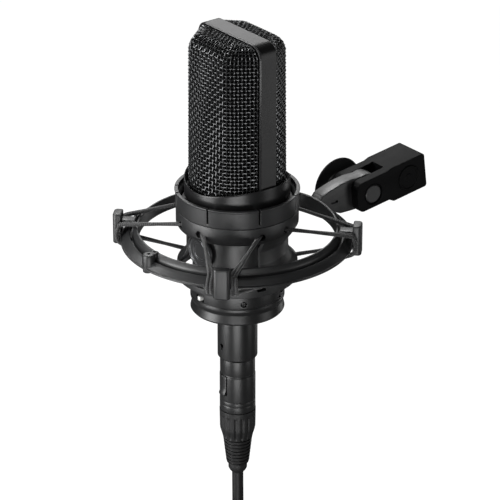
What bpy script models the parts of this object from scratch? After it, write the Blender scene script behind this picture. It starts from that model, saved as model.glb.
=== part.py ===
"""Side-address condenser microphone in an elastic shock mount, with its swivel stand adapter and XLR plug.

The microphone's axis is +Z and its front faces -Y. The stand arm points along +Y.
The origin is the centre of the cable stub's cut end. Heights are measured from the
middle plane of the shock mount's outer ring, which is RING_HEIGHT above the origin.
Azimuths run from the front (-Y) towards +X. All sizes are in metres.
"""
import math

import bmesh
import bpy
import numpy as np
from mathutils import Matrix, Vector

GAP = 0.0003
MERGE = 0.00001

# Heights from the ring's middle plane
RING_HEIGHT = 0.172
HEAD_TOP = 0.1128
COLLAR_TOP = 0.033
COLLAR_BOTTOM = 0.0208
BASE_TOP = -0.0226
GROOVE_HEIGHT = -0.0364
BASE_BOTTOM = -0.0418
XLR_COLLAR_BOTTOM = -0.0706
PLUG_NOSE_TOP = -0.057
PLUG_SHELL_BOTTOM = -0.1014
BOOT_BOTTOM = -0.140
CABLE_END = -RING_HEIGHT

# Microphone
BODY_RADIUS = 0.0246
BODY_WALL = 0.0015
COLLAR_RADIUS = 0.0276
HEAD_HALF_SPAN = 0.0257
STRAP_WIDTH = 0.0106
STRAP_THICKNESS = 0.0016
STRAP_CORNER = 0.0070
FRONT_DEPTH = 0.0206
FRONT_HALF_WIDTH = 0.0152
SHELL_WALL = 0.0010
SCREEN_INSET = 0.0019
SCREEN_WALL = 0.0005
CAPSULE_HEIGHT = 0.075
CAPSULE_RADIUS = 0.0165
DIAPHRAGM_RADIUS = 0.0130
CAPSULE_HALF_DEPTH = 0.0034
BADGE_RADIUS = 0.0095
BADGE_HEIGHT = -0.0030
SWITCH_HEIGHT = -0.0300
SWITCH_TRAVEL = math.radians(4.5)
SWITCH_HALF_ANGLE = math.radians(2.2)
SWITCH_AZIMUTHS = (0, 120, 240)
SCREW_HEIGHT = -0.0294
SCREW_AZIMUTHS = (60, 180, 300)
XLR_COLLAR_RADIUS = 0.0106
XLR_COLLAR_BORE = 0.0081
PIN_RADIUS = 0.0012
PIN_CIRCLE = 0.00475
PIN_AZIMUTHS = (90, 270, 0)

# Shock mount
RING_INNER = 0.0514
RING_LIP = 0.0609
RING_TOP = 0.0045
RING_BOTTOM = -0.0030
POST_RADII = (0.0572, 0.0534)
POST_HALF_WIDTHS = (0.0032, 0.0022)
POST_TOP = 0.0052
POST_BOTTOM = -0.0050
POST_HOLE = 0.0008
CLIP_AZIMUTHS = (45, 135, 225, 315)
CORD_SPREAD = 31
CORD_RADIUS = 0.00095
CORD_HUB = 0.0621
CORD_HUB_RADIUS = 0.0011
CORD_HUB_HALF = 0.0054
CLIP_INNER = 0.0634
CLIP_OUTER = 0.0650
CLIP_HALF_WIDTH = 0.0043
CLIP_CHEEK = 0.0014
CLIP_TOP = 0.0086
CLIP_BOTTOM = -0.0070
BAND_RADIUS = 0.0322
BAND_BOTTOM = 0.0168
BAND_TOP = 0.0267
SKIRT_RADIUS = 0.0320
WALL_RADIUS = 0.0266
LOWER_RING_RADIUS = 0.0315
CRADLE_THICKNESS = 0.0014
CRADLE_BOTTOM = -0.0227
OPENING_TOP = 0.0072
OPENING_BOTTOM = -0.0140
OPENINGS = ((-30, 78), (150, 258))
FINGER_SLOTS = (-25, 24, 73, 122, 171, 220, 269, 318)
UPPER_HOLE_HEIGHT = 0.0110
LOWER_SLOT_HEIGHT = -0.0180

# Swivel stand adapter
PIVOT_Y = 0.0842
PIVOT_Z = 0.0030
ADAPTER_TILT = math.radians(7)
ADAPTER_HALF_WIDTH = 0.0100
FORK_FRONT = -0.0106
FORK_TOP = 0.0092
FORK_BOTTOM = -0.0080
FORK_CORNER = 0.0040
FORK_SLOT = 0.0048
FORK_SLOT_END = 0.0125
FORK_END = 0.0105
SOCKET_START = 0.0135
ADAPTER_LENGTH = 0.0368
SOCKET_HALF_HEIGHT = 0.0100
SOCKET_BORE = 0.0082
THREAD_BORE = 0.0072
SOCKET_DEPTH = 0.0150
ADAPTER_BADGE_RADIUS = 0.0070
ADAPTER_BADGE_Y = 0.0245
ADAPTER_BADGE_DEPTH = 0.0006
BOLT_RADIUS = 0.0030
BOLT_HEAD_RADIUS = 0.0050
BOLT_RECESS_RADIUS = 0.0062
BOLT_RECESS_DEPTH = 0.0012
KNUCKLE_RADIUS = 0.0095
ARM_HALF_WIDTH = 0.0041
ARM_FRONT = 0.0525
ARM_END = PIVOT_Y - 0.0105
KNOB_RADIUS = 0.0152
KNOB_OFFSET = (-0.0032, -0.0032)
KNOB_INNER = -0.0108
KNOB_OUTER = -0.0170

# XLR plug
PLUG_RADIUS = 0.00955
PLUG_NOSE_RADIUS = 0.0078
PLUG_BORE = 0.0066
LATCH_TOP = -0.0805
LATCH_BOTTOM = -0.0912
LATCH_HALF_WIDTH = 0.0024
LATCH_HINGE_Y = -0.0074
CABLE_RADIUS = 0.00305
BOOT_BORE = 0.0034
CHUCK_RADIUS = 0.0060

ROUND = 40
SMALL_ROUND = 16


def clear_scene():
    for obj in list(bpy.data.objects):
        bpy.data.objects.remove(obj, do_unlink=True)


def make_material(name, colour, roughness, metallic):
    material = bpy.data.materials.new(name)
    material.use_nodes = True
    shader = material.node_tree.nodes["Principled BSDF"]
    shader.inputs["Base Color"].default_value = (*colour, 1.0)
    shader.inputs["Roughness"].default_value = roughness
    shader.inputs["Metallic"].default_value = metallic
    return material


def add_object(name, mesh, material, parent, location=(0, 0, 0), rotation=(0, 0, 0)):
    mesh.shade_smooth()
    mesh.set_sharp_from_angle(angle=math.radians(35))
    mesh.materials.append(material)
    obj = bpy.data.objects.new(name, mesh)
    bpy.context.scene.collection.objects.link(obj)
    obj.parent = parent
    obj.location = location
    obj.rotation_euler = rotation
    return obj


def add_empty(name, location, parent=None, rotation=(0, 0, 0)):
    empty = bpy.data.objects.new(name, None)
    bpy.context.scene.collection.objects.link(empty)
    empty.parent = parent
    empty.location = location
    empty.rotation_euler = rotation
    return empty


def finish_mesh(name, work):
    """Close a bmesh: merge doubled points, turn the faces outward and return it as a mesh."""
    bmesh.ops.remove_doubles(work, verts=work.verts, dist=MERGE)
    bmesh.ops.recalc_face_normals(work, faces=work.faces)
    mesh = bpy.data.meshes.new(name)
    work.to_mesh(mesh)
    work.free()
    return mesh


def at_azimuth(radius, degrees, height=0.0):
    """The point at an azimuth measured from the front (-Y) towards +X."""
    angle = math.radians(degrees)
    return Vector((radius * math.sin(angle), -radius * math.cos(angle), height))


def arc(centre, radius, start, end, steps):
    """Points on an arc in a plane, from one angle in degrees to another."""
    angles = np.radians(np.linspace(start, end, steps + 1))
    return [(centre[0] + radius * math.cos(a), centre[1] + radius * math.sin(a)) for a in angles]


def revolved_mesh(name, profile, segments=ROUND, start=0.0, sweep=360.0):
    """Turn a closed (radius, height) outline about Z, fully or over part of a circle."""
    work = bmesh.new()
    full = sweep >= 360.0
    count = segments if full else segments + 1
    rings = []
    for step in range(count):
        degrees = start + sweep * step / segments
        rings.append([work.verts.new(at_azimuth(r, degrees, z)) for r, z in profile])
    for step in range(segments):
        ring, after = rings[step], rings[(step + 1) % count]
        for i in range(len(profile)):
            j = (i + 1) % len(profile)
            if profile[i][0] > 0 or profile[j][0] > 0:
                corners = [ring[i], ring[j], after[j], after[i]]
                work.faces.new(corners)
    if not full:
        work.faces.new(rings[0])
        work.faces.new(rings[-1])
    bmesh.ops.remove_doubles(work, verts=work.verts, dist=MERGE)
    bmesh.ops.dissolve_degenerate(work, edges=work.edges, dist=MERGE)
    return finish_mesh(name, work)


def prism_mesh(name, outline, low, high, axis):
    """Extrude a closed outline between two distances along an axis.

    The outline's two coordinates are (y, z) for axis x, (x, z) for axis y and (x, y) for axis z.
    """
    slot = "xyz".index(axis)
    work = bmesh.new()
    lower = [work.verts.new((*point[:slot], low, *point[slot:])) for point in outline]
    upper = [work.verts.new((*point[:slot], high, *point[slot:])) for point in outline]
    work.faces.new(lower)
    work.faces.new(upper)
    for i in range(len(outline)):
        j = (i + 1) % len(outline)
        work.faces.new([lower[i], lower[j], upper[j], upper[i]])
    return finish_mesh(name, work)


def disc_mesh(name, radius, low, high, axis, centre=(0, 0), segments=SMALL_ROUND):
    return prism_mesh(name, arc(centre, radius, 0, 360, segments)[:-1], low, high, axis)


def box_outline(low, high):
    return [(low[0], low[1]), (high[0], low[1]), (high[0], high[1]), (low[0], high[1])]


def cut(obj, mesh, operation="DIFFERENCE", location=(0, 0, 0), rotation=(0, 0, 0)):
    """Cut a mesh out of an object, or join it on, with a Boolean modifier."""
    cutter = bpy.data.objects.new(f"{obj.name}_cutter", mesh)
    bpy.context.scene.collection.objects.link(cutter)
    cutter.parent = obj
    cutter.location = location
    cutter.rotation_euler = rotation
    cutter.hide_render = True
    cutter.display_type = "WIRE"
    modifier = obj.modifiers.new(mesh.name, "BOOLEAN")
    modifier.operation = operation
    modifier.object = cutter


def merged_mesh(name, meshes):
    """Gather several separate closed meshes into one cutter."""
    work = bmesh.new()
    for mesh in meshes:
        work.from_mesh(mesh)
    return finish_mesh(name, work)


def tube_profile(inner, outer, low, high):
    return [(inner, low), (outer, low), (outer, high), (inner, high)]


def radial_box(name, degrees, inner, outer, half_width, low, high):
    """A block whose long side runs along a radius at an azimuth."""
    mesh = prism_mesh(name, box_outline((-half_width, -outer), (half_width, -inner)), low, high, "z")
    turn_mesh(mesh, degrees)
    return mesh


def turn_mesh(mesh, degrees):
    """Turn a mesh about Z, from the front towards +X."""
    angle = math.radians(degrees)
    for vertex in mesh.vertices:
        x, y, z = vertex.co
        vertex.co = (x * math.cos(angle) - y * math.sin(angle), x * math.sin(angle) + y * math.cos(angle), z)


# ---------------------------------------------------------------- microphone head

def head_radius(angle, squareness, inset):
    """Distance from the middle of the strap's edge to the shell, at an angle from the strap's plane.

    The outline is round at the base (squareness 0) and has a flat front and angled sides at the top (1).
    """
    edge = STRAP_WIDTH / 2 + GAP
    side, front = HEAD_HALF_SPAN - inset, FRONT_DEPTH - edge - inset
    slope = Vector((front, side - FRONT_HALF_WIDTH)).normalized()
    reach = side * slope.x
    sharpness = 14
    inverse = (math.sin(angle) / front) ** sharpness
    for direction in (1, -1):
        facing = direction * math.cos(angle) * slope.x + math.sin(angle) * slope.y
        inverse += (max(facing, 0.0) / reach) ** sharpness
    flat_sided = inverse ** (-1 / sharpness)
    sine, cosine = math.sin(angle), math.cos(angle)
    rounded = -edge * sine + math.sqrt(side ** 2 - (edge * cosine) ** 2)
    return flat_sided * squareness + rounded * (1 - squareness)


def head_rows(inset, facing):
    """Rows of points over half of the head: up the side, round the shoulder and over the flat top."""
    columns, wall_rows, shoulder_rows = 14, 2, 3
    edge = STRAP_WIDTH / 2 + GAP
    half_span = HEAD_HALF_SPAN - inset
    depth = FRONT_DEPTH - edge - inset
    top = HEAD_TOP - 0.0008 - inset
    base = COLLAR_TOP + GAP
    shoulder_x, shoulder_y = 0.0060, 0.0085
    shoulder_base = top - shoulder_y
    levels = [(base + (shoulder_base - base) * row / wall_rows, 0.0) for row in range(wall_rows + 1)]
    for row in range(1, shoulder_rows + 1):
        turn = math.pi / 2 * row / shoulder_rows
        levels.append((shoulder_base + shoulder_y * math.sin(turn), 1 - math.cos(turn)))
    rows = []
    for height, tuck in levels:
        squareness = min(1.0, (height - base) / (shoulder_base - base))
        line = []
        for column in range(columns + 1):
            angle = math.pi * column / columns
            radius = head_radius(angle, squareness, inset)
            x = radius * math.cos(angle) * (1 - tuck * shoulder_x / half_span)
            y = edge + radius * math.sin(angle) * (1 - tuck * shoulder_y / depth)
            line.append((x, facing * y, height))
        rows.append(line)
    return rows, (0, facing * edge, top)


def add_head_shell(name, inset, wall, facing, material, parent):
    """A thin closed shell between two sheets of the head's form, open at its base and at the strap."""
    work = bmesh.new()
    sheets = []
    for sheet_inset in (inset, inset + wall):
        rows, crown = head_rows(sheet_inset, facing)
        grid = [[work.verts.new(point) for point in line] for line in rows]
        top = work.verts.new(crown)
        for lower, upper in zip(grid, grid[1:]):
            for i in range(len(lower) - 1):
                work.faces.new([lower[i], lower[i + 1], upper[i + 1], upper[i]])
        for i in range(len(grid[-1]) - 1):
            work.faces.new([grid[-1][i], grid[-1][i + 1], top])
        border = grid[0] + [line[-1] for line in grid[1:]] + [top] + [line[0] for line in reversed(grid[1:])]
        sheets.append(border)
    outer, inner = sheets
    for i in range(len(outer)):
        j = (i + 1) % len(outer)
        work.faces.new([outer[i], outer[j], inner[j], inner[i]])
    return add_object(name, finish_mesh(name, work), material, parent)


def add_head(parent, looks):
    """The arch strap, the two woven grilles with the fine screens behind them, and the collar."""
    half, inner = HEAD_HALF_SPAN, HEAD_HALF_SPAN - STRAP_THICKNESS
    base = COLLAR_TOP + GAP
    bend = HEAD_TOP - STRAP_CORNER
    outer_arch = [(half, base)] + arc((half - STRAP_CORNER, bend), STRAP_CORNER, 0, 90, 5)
    outer_arch += arc((STRAP_CORNER - half, bend), STRAP_CORNER, 90, 180, 5) + [(-half, base)]
    inner_bend = STRAP_CORNER - STRAP_THICKNESS
    inner_arch = [(-inner, base)] + arc((STRAP_CORNER - half, bend), inner_bend, 180, 90, 5)
    inner_arch += arc((half - STRAP_CORNER, bend), inner_bend, 90, 0, 5) + [(inner, base)]
    strap = prism_mesh("head_frame", outer_arch + inner_arch, -STRAP_WIDTH / 2, STRAP_WIDTH / 2, "y")
    add_object("head_frame", strap, looks["black_metal"], parent)
    for side_name, facing in (("front", -1), ("rear", 1)):
        add_head_shell(f"grille_{side_name}", 0.0, SHELL_WALL, facing, looks["woven_wire"], parent)
        add_head_shell(f"screen_{side_name}", SCREEN_INSET, SCREEN_WALL, facing, looks["fine_mesh"], parent)
    collar_profile = [(0.0225, COLLAR_TOP), (0.0225, COLLAR_BOTTOM), (0.0252, COLLAR_BOTTOM),
                      (COLLAR_RADIUS, 0.0232), (COLLAR_RADIUS, COLLAR_TOP - 0.0006),
                      (COLLAR_RADIUS - 0.0006, COLLAR_TOP)]
    add_object("head_collar", revolved_mesh("head_collar", collar_profile), looks["black_metal"], parent)


def add_capsule(parent, looks):
    """The double diaphragm capsule on its sprung saddle."""
    centre = add_empty("capsule_centre", (0, 0, CAPSULE_HEIGHT), parent)
    half = CAPSULE_HALF_DEPTH
    body = disc_mesh("capsule_body", CAPSULE_RADIUS, -half, half, "y", segments=24)
    add_object("capsule_body", body, looks["brass"], centre)
    film_inner, film_outer = half + GAP, half + 2 * GAP
    ring_depth = 0.0013
    for side_name, facing in (("front", -1), ("rear", 1)):
        low, high = sorted((facing * film_inner, facing * film_outer))
        film = disc_mesh(f"diaphragm_{side_name}", DIAPHRAGM_RADIUS - GAP, low, high, "y", segments=24)
        add_object(f"diaphragm_{side_name}", film, looks["gold_film"], centre)
        profile = tube_profile(DIAPHRAGM_RADIUS, CAPSULE_RADIUS, film_inner, film_inner + ring_depth)
        ring = revolved_mesh(f"clamp_ring_{side_name}", profile, 24)
        tilt = (facing * -math.pi / 2, 0, 0)
        add_object(f"clamp_ring_{side_name}", ring, looks["brass"], centre, rotation=tilt)
    inner, outer = CAPSULE_RADIUS + GAP, CAPSULE_RADIUS + 0.0025
    foot_top = COLLAR_TOP + 0.0024 - CAPSULE_HEIGHT
    foot_bottom = foot_top - 0.002
    stem_half, foot_half = 0.0040, 0.0120
    outline = arc((0, 0), outer, 200, 256, 8) + [(-stem_half, foot_top), (-foot_half, foot_top)]
    outline += [(-foot_half, foot_bottom), (foot_half, foot_bottom)]
    outline += [(foot_half, foot_top), (stem_half, foot_top)]
    outline += arc((0, 0), outer, 284, 340, 8) + arc((0, 0), inner, 340, 200, 16)
    saddle = prism_mesh("capsule_saddle", outline, -0.0028, 0.0028, "y")
    add_object("capsule_saddle", saddle, looks["matte_plastic"], centre)
    isolator = revolved_mesh("capsule_isolator", tube_profile(0.003, 0.0212, 0.0295, COLLAR_TOP), 24)
    add_object("capsule_isolator", isolator, looks["rubber"], parent)


# ---------------------------------------------------------------- microphone body

def add_body(parent, looks):
    """The body tube with its badge, the chassis frame and the circuit board."""
    inner = BODY_RADIUS - BODY_WALL
    profile = tube_profile(inner, BODY_RADIUS, BASE_TOP + GAP, COLLAR_BOTTOM - GAP)
    add_object("body_tube", revolved_mesh("body_tube", profile), looks["black_metal"], parent)
    back = -BODY_RADIUS - GAP
    badge = disc_mesh("front_badge", BADGE_RADIUS, back - 0.0016, back, "y", segments=36)
    add_object("front_badge", badge, looks["silver_paint"], parent, (0, 0, BADGE_HEIGHT))
    span, leg, floor, top = 0.0200, 0.0018, -0.0205, 0.0190
    outline = [(-span, floor), (span, floor), (span, top), (span - leg, top), (span - leg, floor + leg),
               (leg - span, floor + leg), (leg - span, top), (-span, top)]
    frame = prism_mesh("chassis_frame", outline, -0.004, 0.004, "y")
    add_object("chassis_frame", frame, looks["zinc"], parent)
    board_half = span - leg - GAP
    board = prism_mesh("circuit_board", box_outline((-board_half, floor + leg + GAP), (board_half, top)),
                       -0.0008, 0.0008, "y")
    add_object("circuit_board", board, looks["board"], parent)


def add_base(parent, looks):
    """The base ring with its switches and screws, and the XLR collar with its contacts."""
    outer, inner = BODY_RADIUS + 0.0002, BODY_RADIUS - 0.0022
    floor = BASE_BOTTOM + 0.0030
    profile = [(XLR_COLLAR_BORE, BASE_BOTTOM), (outer - 0.0008, BASE_BOTTOM), (outer, BASE_BOTTOM + 0.0011),
               (outer - 0.0010, GROOVE_HEIGHT), (outer, GROOVE_HEIGHT + 0.0024), (outer, BASE_TOP),
               (inner, BASE_TOP), (inner, floor), (XLR_COLLAR_BORE, floor)]
    base = add_object("base_ring", revolved_mesh("base_ring", profile), looks["black_metal"], parent)
    openings = []
    slot_half_height = 0.0017
    slot_half_angle = math.degrees(SWITCH_TRAVEL + SWITCH_HALF_ANGLE) + 0.8
    section = tube_profile(inner - 0.001, outer + 0.001, SWITCH_HEIGHT - slot_half_height,
                           SWITCH_HEIGHT + slot_half_height)
    for azimuth in SWITCH_AZIMUTHS:
        openings.append(revolved_mesh("slot", section, 4, azimuth - slot_half_angle, 2 * slot_half_angle))
    hole_radius = 0.0016
    for index, azimuth in enumerate(SCREW_AZIMUTHS):
        hole = disc_mesh("hole", hole_radius, -outer - 0.001, -inner + 0.001, "y", segments=12)
        turn_mesh(hole, azimuth)
        hole.transform(Matrix.Translation((0, 0, SCREW_HEIGHT)))
        openings.append(hole)
        screw_name = f"body_screw_{index + 1}"
        screw = disc_mesh(screw_name, hole_radius - GAP, -outer + 0.0005, -inner, "y", segments=12)
        turn_mesh(screw, azimuth)
        add_object(screw_name, screw, looks["screw"], parent, (0, 0, SCREW_HEIGHT))
    cut(base, merged_mesh("base_openings", openings))
    half_angle = math.degrees(SWITCH_HALF_ANGLE)
    for name, azimuth in zip(("pattern_switch", "pad_switch", "rolloff_switch"), SWITCH_AZIMUTHS):
        section = tube_profile(inner + 0.0004, outer + 0.0005, -0.0011, 0.0011)
        slider = revolved_mesh(name, section, 3, azimuth - half_angle, 2 * half_angle)
        add_object(name, slider, looks["white_plastic"], parent, (0, 0, SWITCH_HEIGHT))
    add_xlr_collar(parent, looks)


def add_xlr_collar(parent, looks):
    """The tube that takes the cable plug, with the insulator and the three contact pins inside it."""
    top = BASE_BOTTOM - GAP
    profile = [(XLR_COLLAR_BORE, top), (XLR_COLLAR_BORE, XLR_COLLAR_BOTTOM),
               (XLR_COLLAR_RADIUS - 0.001, XLR_COLLAR_BOTTOM), (XLR_COLLAR_RADIUS, XLR_COLLAR_BOTTOM + 0.001),
               (XLR_COLLAR_RADIUS, top)]
    collar = add_object("xlr_collar", revolved_mesh("xlr_collar", profile, 28), looks["black_metal"], parent)
    catch = disc_mesh("catch_hole", 0.0012, -XLR_COLLAR_RADIUS - 0.001, -XLR_COLLAR_BORE + 0.001, "y",
                      (0, -0.0620), 12)
    cut(collar, catch)
    insert_top, insert_bottom = -0.0470, -0.0520
    radius = XLR_COLLAR_BORE - GAP
    insert = disc_mesh("xlr_insert", radius, insert_bottom, insert_top, "z", segments=24)
    add_object("xlr_insert", insert, looks["green_plastic"], parent)
    for index, azimuth in enumerate(PIN_AZIMUTHS):
        name = f"xlr_pin_{index + 1}"
        pin = disc_mesh(name, PIN_RADIUS, -0.0655, insert_bottom - GAP, "z", segments=12)
        add_object(name, pin, looks["gold"], parent, at_azimuth(PIN_CIRCLE, azimuth))


# ---------------------------------------------------------------- shock mount

def ring_profile():
    """The ring's section: a tall inner rib, a narrow groove, a skirt that slopes outwards and a lip."""
    rib = [(RING_INNER, RING_BOTTOM), (RING_INNER, RING_TOP - 0.0005), (0.0519, RING_TOP), (0.0527, RING_TOP)]
    groove = [(0.0542, 0.0024), (0.0545, 0.0008), (0.0558, 0.0008)]
    skirt = [(0.0562, 0.0013), (0.0594, -0.0014), (0.0599, -0.0020)]
    lip = [(RING_LIP, RING_BOTTOM + 0.0009), (RING_LIP, RING_BOTTOM)]
    return rib + groove + skirt + lip


def add_ring(parent, looks):
    """The outer ring with two posts at the front, the arm at the back and a notch for each cord loop."""
    ring_mesh = revolved_mesh("outer_ring", ring_profile(), 60)
    ring = add_object("outer_ring", ring_mesh, looks["black_plastic"], parent)
    for radius, half in zip(POST_RADII, POST_HALF_WIDTHS):
        cut(ring, disc_mesh("post", half, RING_BOTTOM + 0.0003, POST_TOP, "z", (0, -radius), 14), "UNION")
    lug_half, lug_y = 0.0025, -0.0580
    cut(ring, disc_mesh("lug", lug_half, POST_BOTTOM, RING_BOTTOM + 0.0006, "z", (0, lug_y), 14), "UNION")
    cut(ring, arm_mesh(), "UNION")
    holes = [disc_mesh("post_hole", POST_HOLE, POST_TOP - 0.0025, POST_TOP + 0.001, "z", (0, -radius), 10)
             for radius in POST_RADII]
    notch_half, notch_floor = CLIP_HALF_WIDTH - CLIP_CHEEK, CORD_HUB - CORD_HUB_RADIUS - 2 * GAP
    for azimuth in CLIP_AZIMUTHS:
        holes.append(radial_box("cord_notch", azimuth, notch_floor, RING_LIP + 0.001, notch_half,
                                RING_BOTTOM - 0.001, RING_TOP + 0.001))
    cut(ring, merged_mesh("ring_holes", holes))
    cut(ring, disc_mesh("pin_hole", BOLT_RADIUS + GAP, -0.01, 0.01, "x", (PIVOT_Y, PIVOT_Z), 24))


def arm_mesh():
    """The flat arm: it grows out of the ring's rib, rises towards the fork and ends in a round knuckle."""
    low = RING_BOTTOM + 0.0003
    outline = [(ARM_FRONT, low), (0.0600, low), (0.0665, -0.0056), (ARM_END, -0.0059)]
    outline += arc((PIVOT_Y, PIVOT_Z), KNUCKLE_RADIUS, -110, 110, 14)
    outline += [(ARM_END, 0.0122), (0.0665, 0.0113), (0.0540, 0.0076), (ARM_FRONT, RING_TOP - 0.0004)]
    return prism_mesh("arm", outline, -ARM_HALF_WIDTH, ARM_HALF_WIDTH, "x")


def add_clips(parent, looks):
    """Four clips outside the ring: a bevelled plate with two cheeks that reach in to the ring's lip."""
    half, bevel, cheek, ring_side = CLIP_HALF_WIDTH, 0.0011, CLIP_CHEEK, RING_LIP + GAP
    outline = [(-half, -ring_side), (-half, -CLIP_OUTER + bevel), (-half + bevel, -CLIP_OUTER),
               (half - bevel, -CLIP_OUTER), (half, -CLIP_OUTER + bevel), (half, -ring_side),
               (half - cheek, -ring_side), (half - cheek, -CLIP_INNER), (cheek - half, -CLIP_INNER),
               (cheek - half, -ring_side)]
    for index, azimuth in enumerate(CLIP_AZIMUTHS):
        name = f"clip_{index + 1}"
        clip = prism_mesh(name, outline, CLIP_BOTTOM, CLIP_TOP, "z")
        add_object(name, clip, looks["black_plastic"], parent, rotation=(0, 0, math.radians(azimuth)))


def strand_mesh(start, end):
    """A round strand between two points, with flat ends."""
    along = (end - start).normalized()
    turn = along.to_track_quat("Z", "Y")
    mesh = disc_mesh("strand", CORD_RADIUS, 0, (end - start).length, "z", segments=8)
    mesh.transform(Matrix.Translation(start) @ turn.to_matrix().to_4x4())
    return mesh


def add_cords(parent, looks):
    """Four elastic loops: each runs from a clip to two upper holes and two lower slots of the cradle."""
    for index, azimuth in enumerate(CLIP_AZIMUTHS):
        hub = at_azimuth(CORD_HUB, azimuth)
        name = f"elastic_cord_{index + 1}"
        reach = CORD_HUB_HALF + 0.0014
        core = disc_mesh(name, CORD_HUB_RADIUS, -reach, reach, "z", segments=14)
        cord = add_object(name, core, looks["elastic"], parent, hub)
        for side in (-1, 1):
            upper = at_azimuth(SKIRT_RADIUS + 0.0008, azimuth + side * CORD_SPREAD, UPPER_HOLE_HEIGHT)
            lower = at_azimuth(LOWER_RING_RADIUS + 0.0015, azimuth + side * CORD_SPREAD, LOWER_SLOT_HEIGHT)
            for end, height in ((upper, CORD_HUB_HALF), (lower, -CORD_HUB_HALF)):
                start = Vector((0, 0, height * (1 - 0.08 * side)))
                cut(cord, strand_mesh(start, end - hub), "UNION")


def cradle_profile():
    """The cradle's wall in section, before its openings are cut: skirt, waist and lower ring."""
    wall = CRADLE_THICKNESS
    outer = [(SKIRT_RADIUS, BAND_BOTTOM - GAP), (SKIRT_RADIUS, 0.0085), (WALL_RADIUS, 0.0006),
             (WALL_RADIUS, -0.0070), (LOWER_RING_RADIUS, OPENING_BOTTOM), (LOWER_RING_RADIUS, CRADLE_BOTTOM)]
    flange = BODY_RADIUS + 0.0005
    inner = [(LOWER_RING_RADIUS - wall, CRADLE_BOTTOM), (LOWER_RING_RADIUS - wall, OPENING_BOTTOM - 0.0006),
             (WALL_RADIUS - wall, -0.0076), (WALL_RADIUS - wall, 0.0010), (SKIRT_RADIUS - wall, 0.0092),
             (SKIRT_RADIUS - wall, 0.0130), (flange, 0.0148), (flange, BAND_BOTTOM - GAP)]
    return outer + inner


def add_cradle(parent, looks):
    """The inner cradle with its openings and cord holes, the split collet band and the soft seat ring."""
    cradle = add_object("cradle_body", revolved_mesh("cradle_body", cradle_profile()), looks["black_plastic"],
                        parent)
    section = tube_profile(WALL_RADIUS - 0.006, SKIRT_RADIUS + 0.006, OPENING_BOTTOM, OPENING_TOP)
    openings = [revolved_mesh("opening", section, 12, start, end - start) for start, end in OPENINGS]
    through = (-SKIRT_RADIUS - 0.004, -SKIRT_RADIUS + 0.0035)
    slot_outline = box_outline((-0.0021, LOWER_SLOT_HEIGHT - 0.0013), (0.0021, LOWER_SLOT_HEIGHT + 0.0013))
    for azimuth in CLIP_AZIMUTHS:
        for side in (-1, 1):
            hole = disc_mesh("cord_hole", 0.0015, *through, "y", (0, UPPER_HOLE_HEIGHT), 12)
            slot = prism_mesh("cord_slot", slot_outline, *through, "y")
            for opening in (hole, slot):
                turn_mesh(opening, azimuth + side * CORD_SPREAD)
                openings.append(opening)
    cut(cradle, merged_mesh("cradle_openings", openings))
    add_collet_band(parent, looks)
    low, high = BAND_BOTTOM, COLLAR_BOTTOM - GAP
    seat = revolved_mesh("cradle_liner", tube_profile(BODY_RADIUS + GAP, 0.0290, low, high), 32)
    add_object("cradle_liner", seat, looks["rubber"], parent)


def add_collet_band(parent, looks):
    """The band of spring fingers that grips the microphone's collar."""
    inner, lip = 0.0306, 0.0006
    profile = [(inner - 0.0012, BAND_BOTTOM), (BAND_RADIUS, BAND_BOTTOM), (BAND_RADIUS, BAND_TOP - lip),
               (BAND_RADIUS + 0.0004, BAND_TOP - lip), (BAND_RADIUS + 0.0004, BAND_TOP), (inner, BAND_TOP),
               (inner, BAND_TOP - 0.0026), (inner - 0.0012, BAND_TOP - 0.0036)]
    band = add_object("collet_band", revolved_mesh("collet_band", profile), looks["black_plastic"], parent)
    slots = [radial_box("slot", azimuth, 0.0280, 0.0350, 0.00055, BAND_BOTTOM + 0.0016, BAND_TOP + 0.001)
             for azimuth in FINGER_SLOTS]
    cut(band, merged_mesh("finger_slots", slots))


# ---------------------------------------------------------------- swivel stand adapter

def adapter_outline():
    """The adapter's side view: a fork with round front corners and a taller socket block behind it."""
    corner, socket, bevel = FORK_CORNER, SOCKET_HALF_HEIGHT, 0.001
    outline = arc((FORK_FRONT + corner, FORK_BOTTOM + corner), corner, 270, 180, 4)
    outline += arc((FORK_FRONT + corner, FORK_TOP - corner), corner, 180, 90, 4)
    outline += [(FORK_END, FORK_TOP), (SOCKET_START, socket), (ADAPTER_LENGTH - bevel, socket)]
    outline += [(ADAPTER_LENGTH, socket - bevel), (ADAPTER_LENGTH, bevel - socket)]
    outline += [(ADAPTER_LENGTH - bevel, -socket), (SOCKET_START, -socket), (FORK_END, FORK_BOTTOM)]
    return outline


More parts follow.
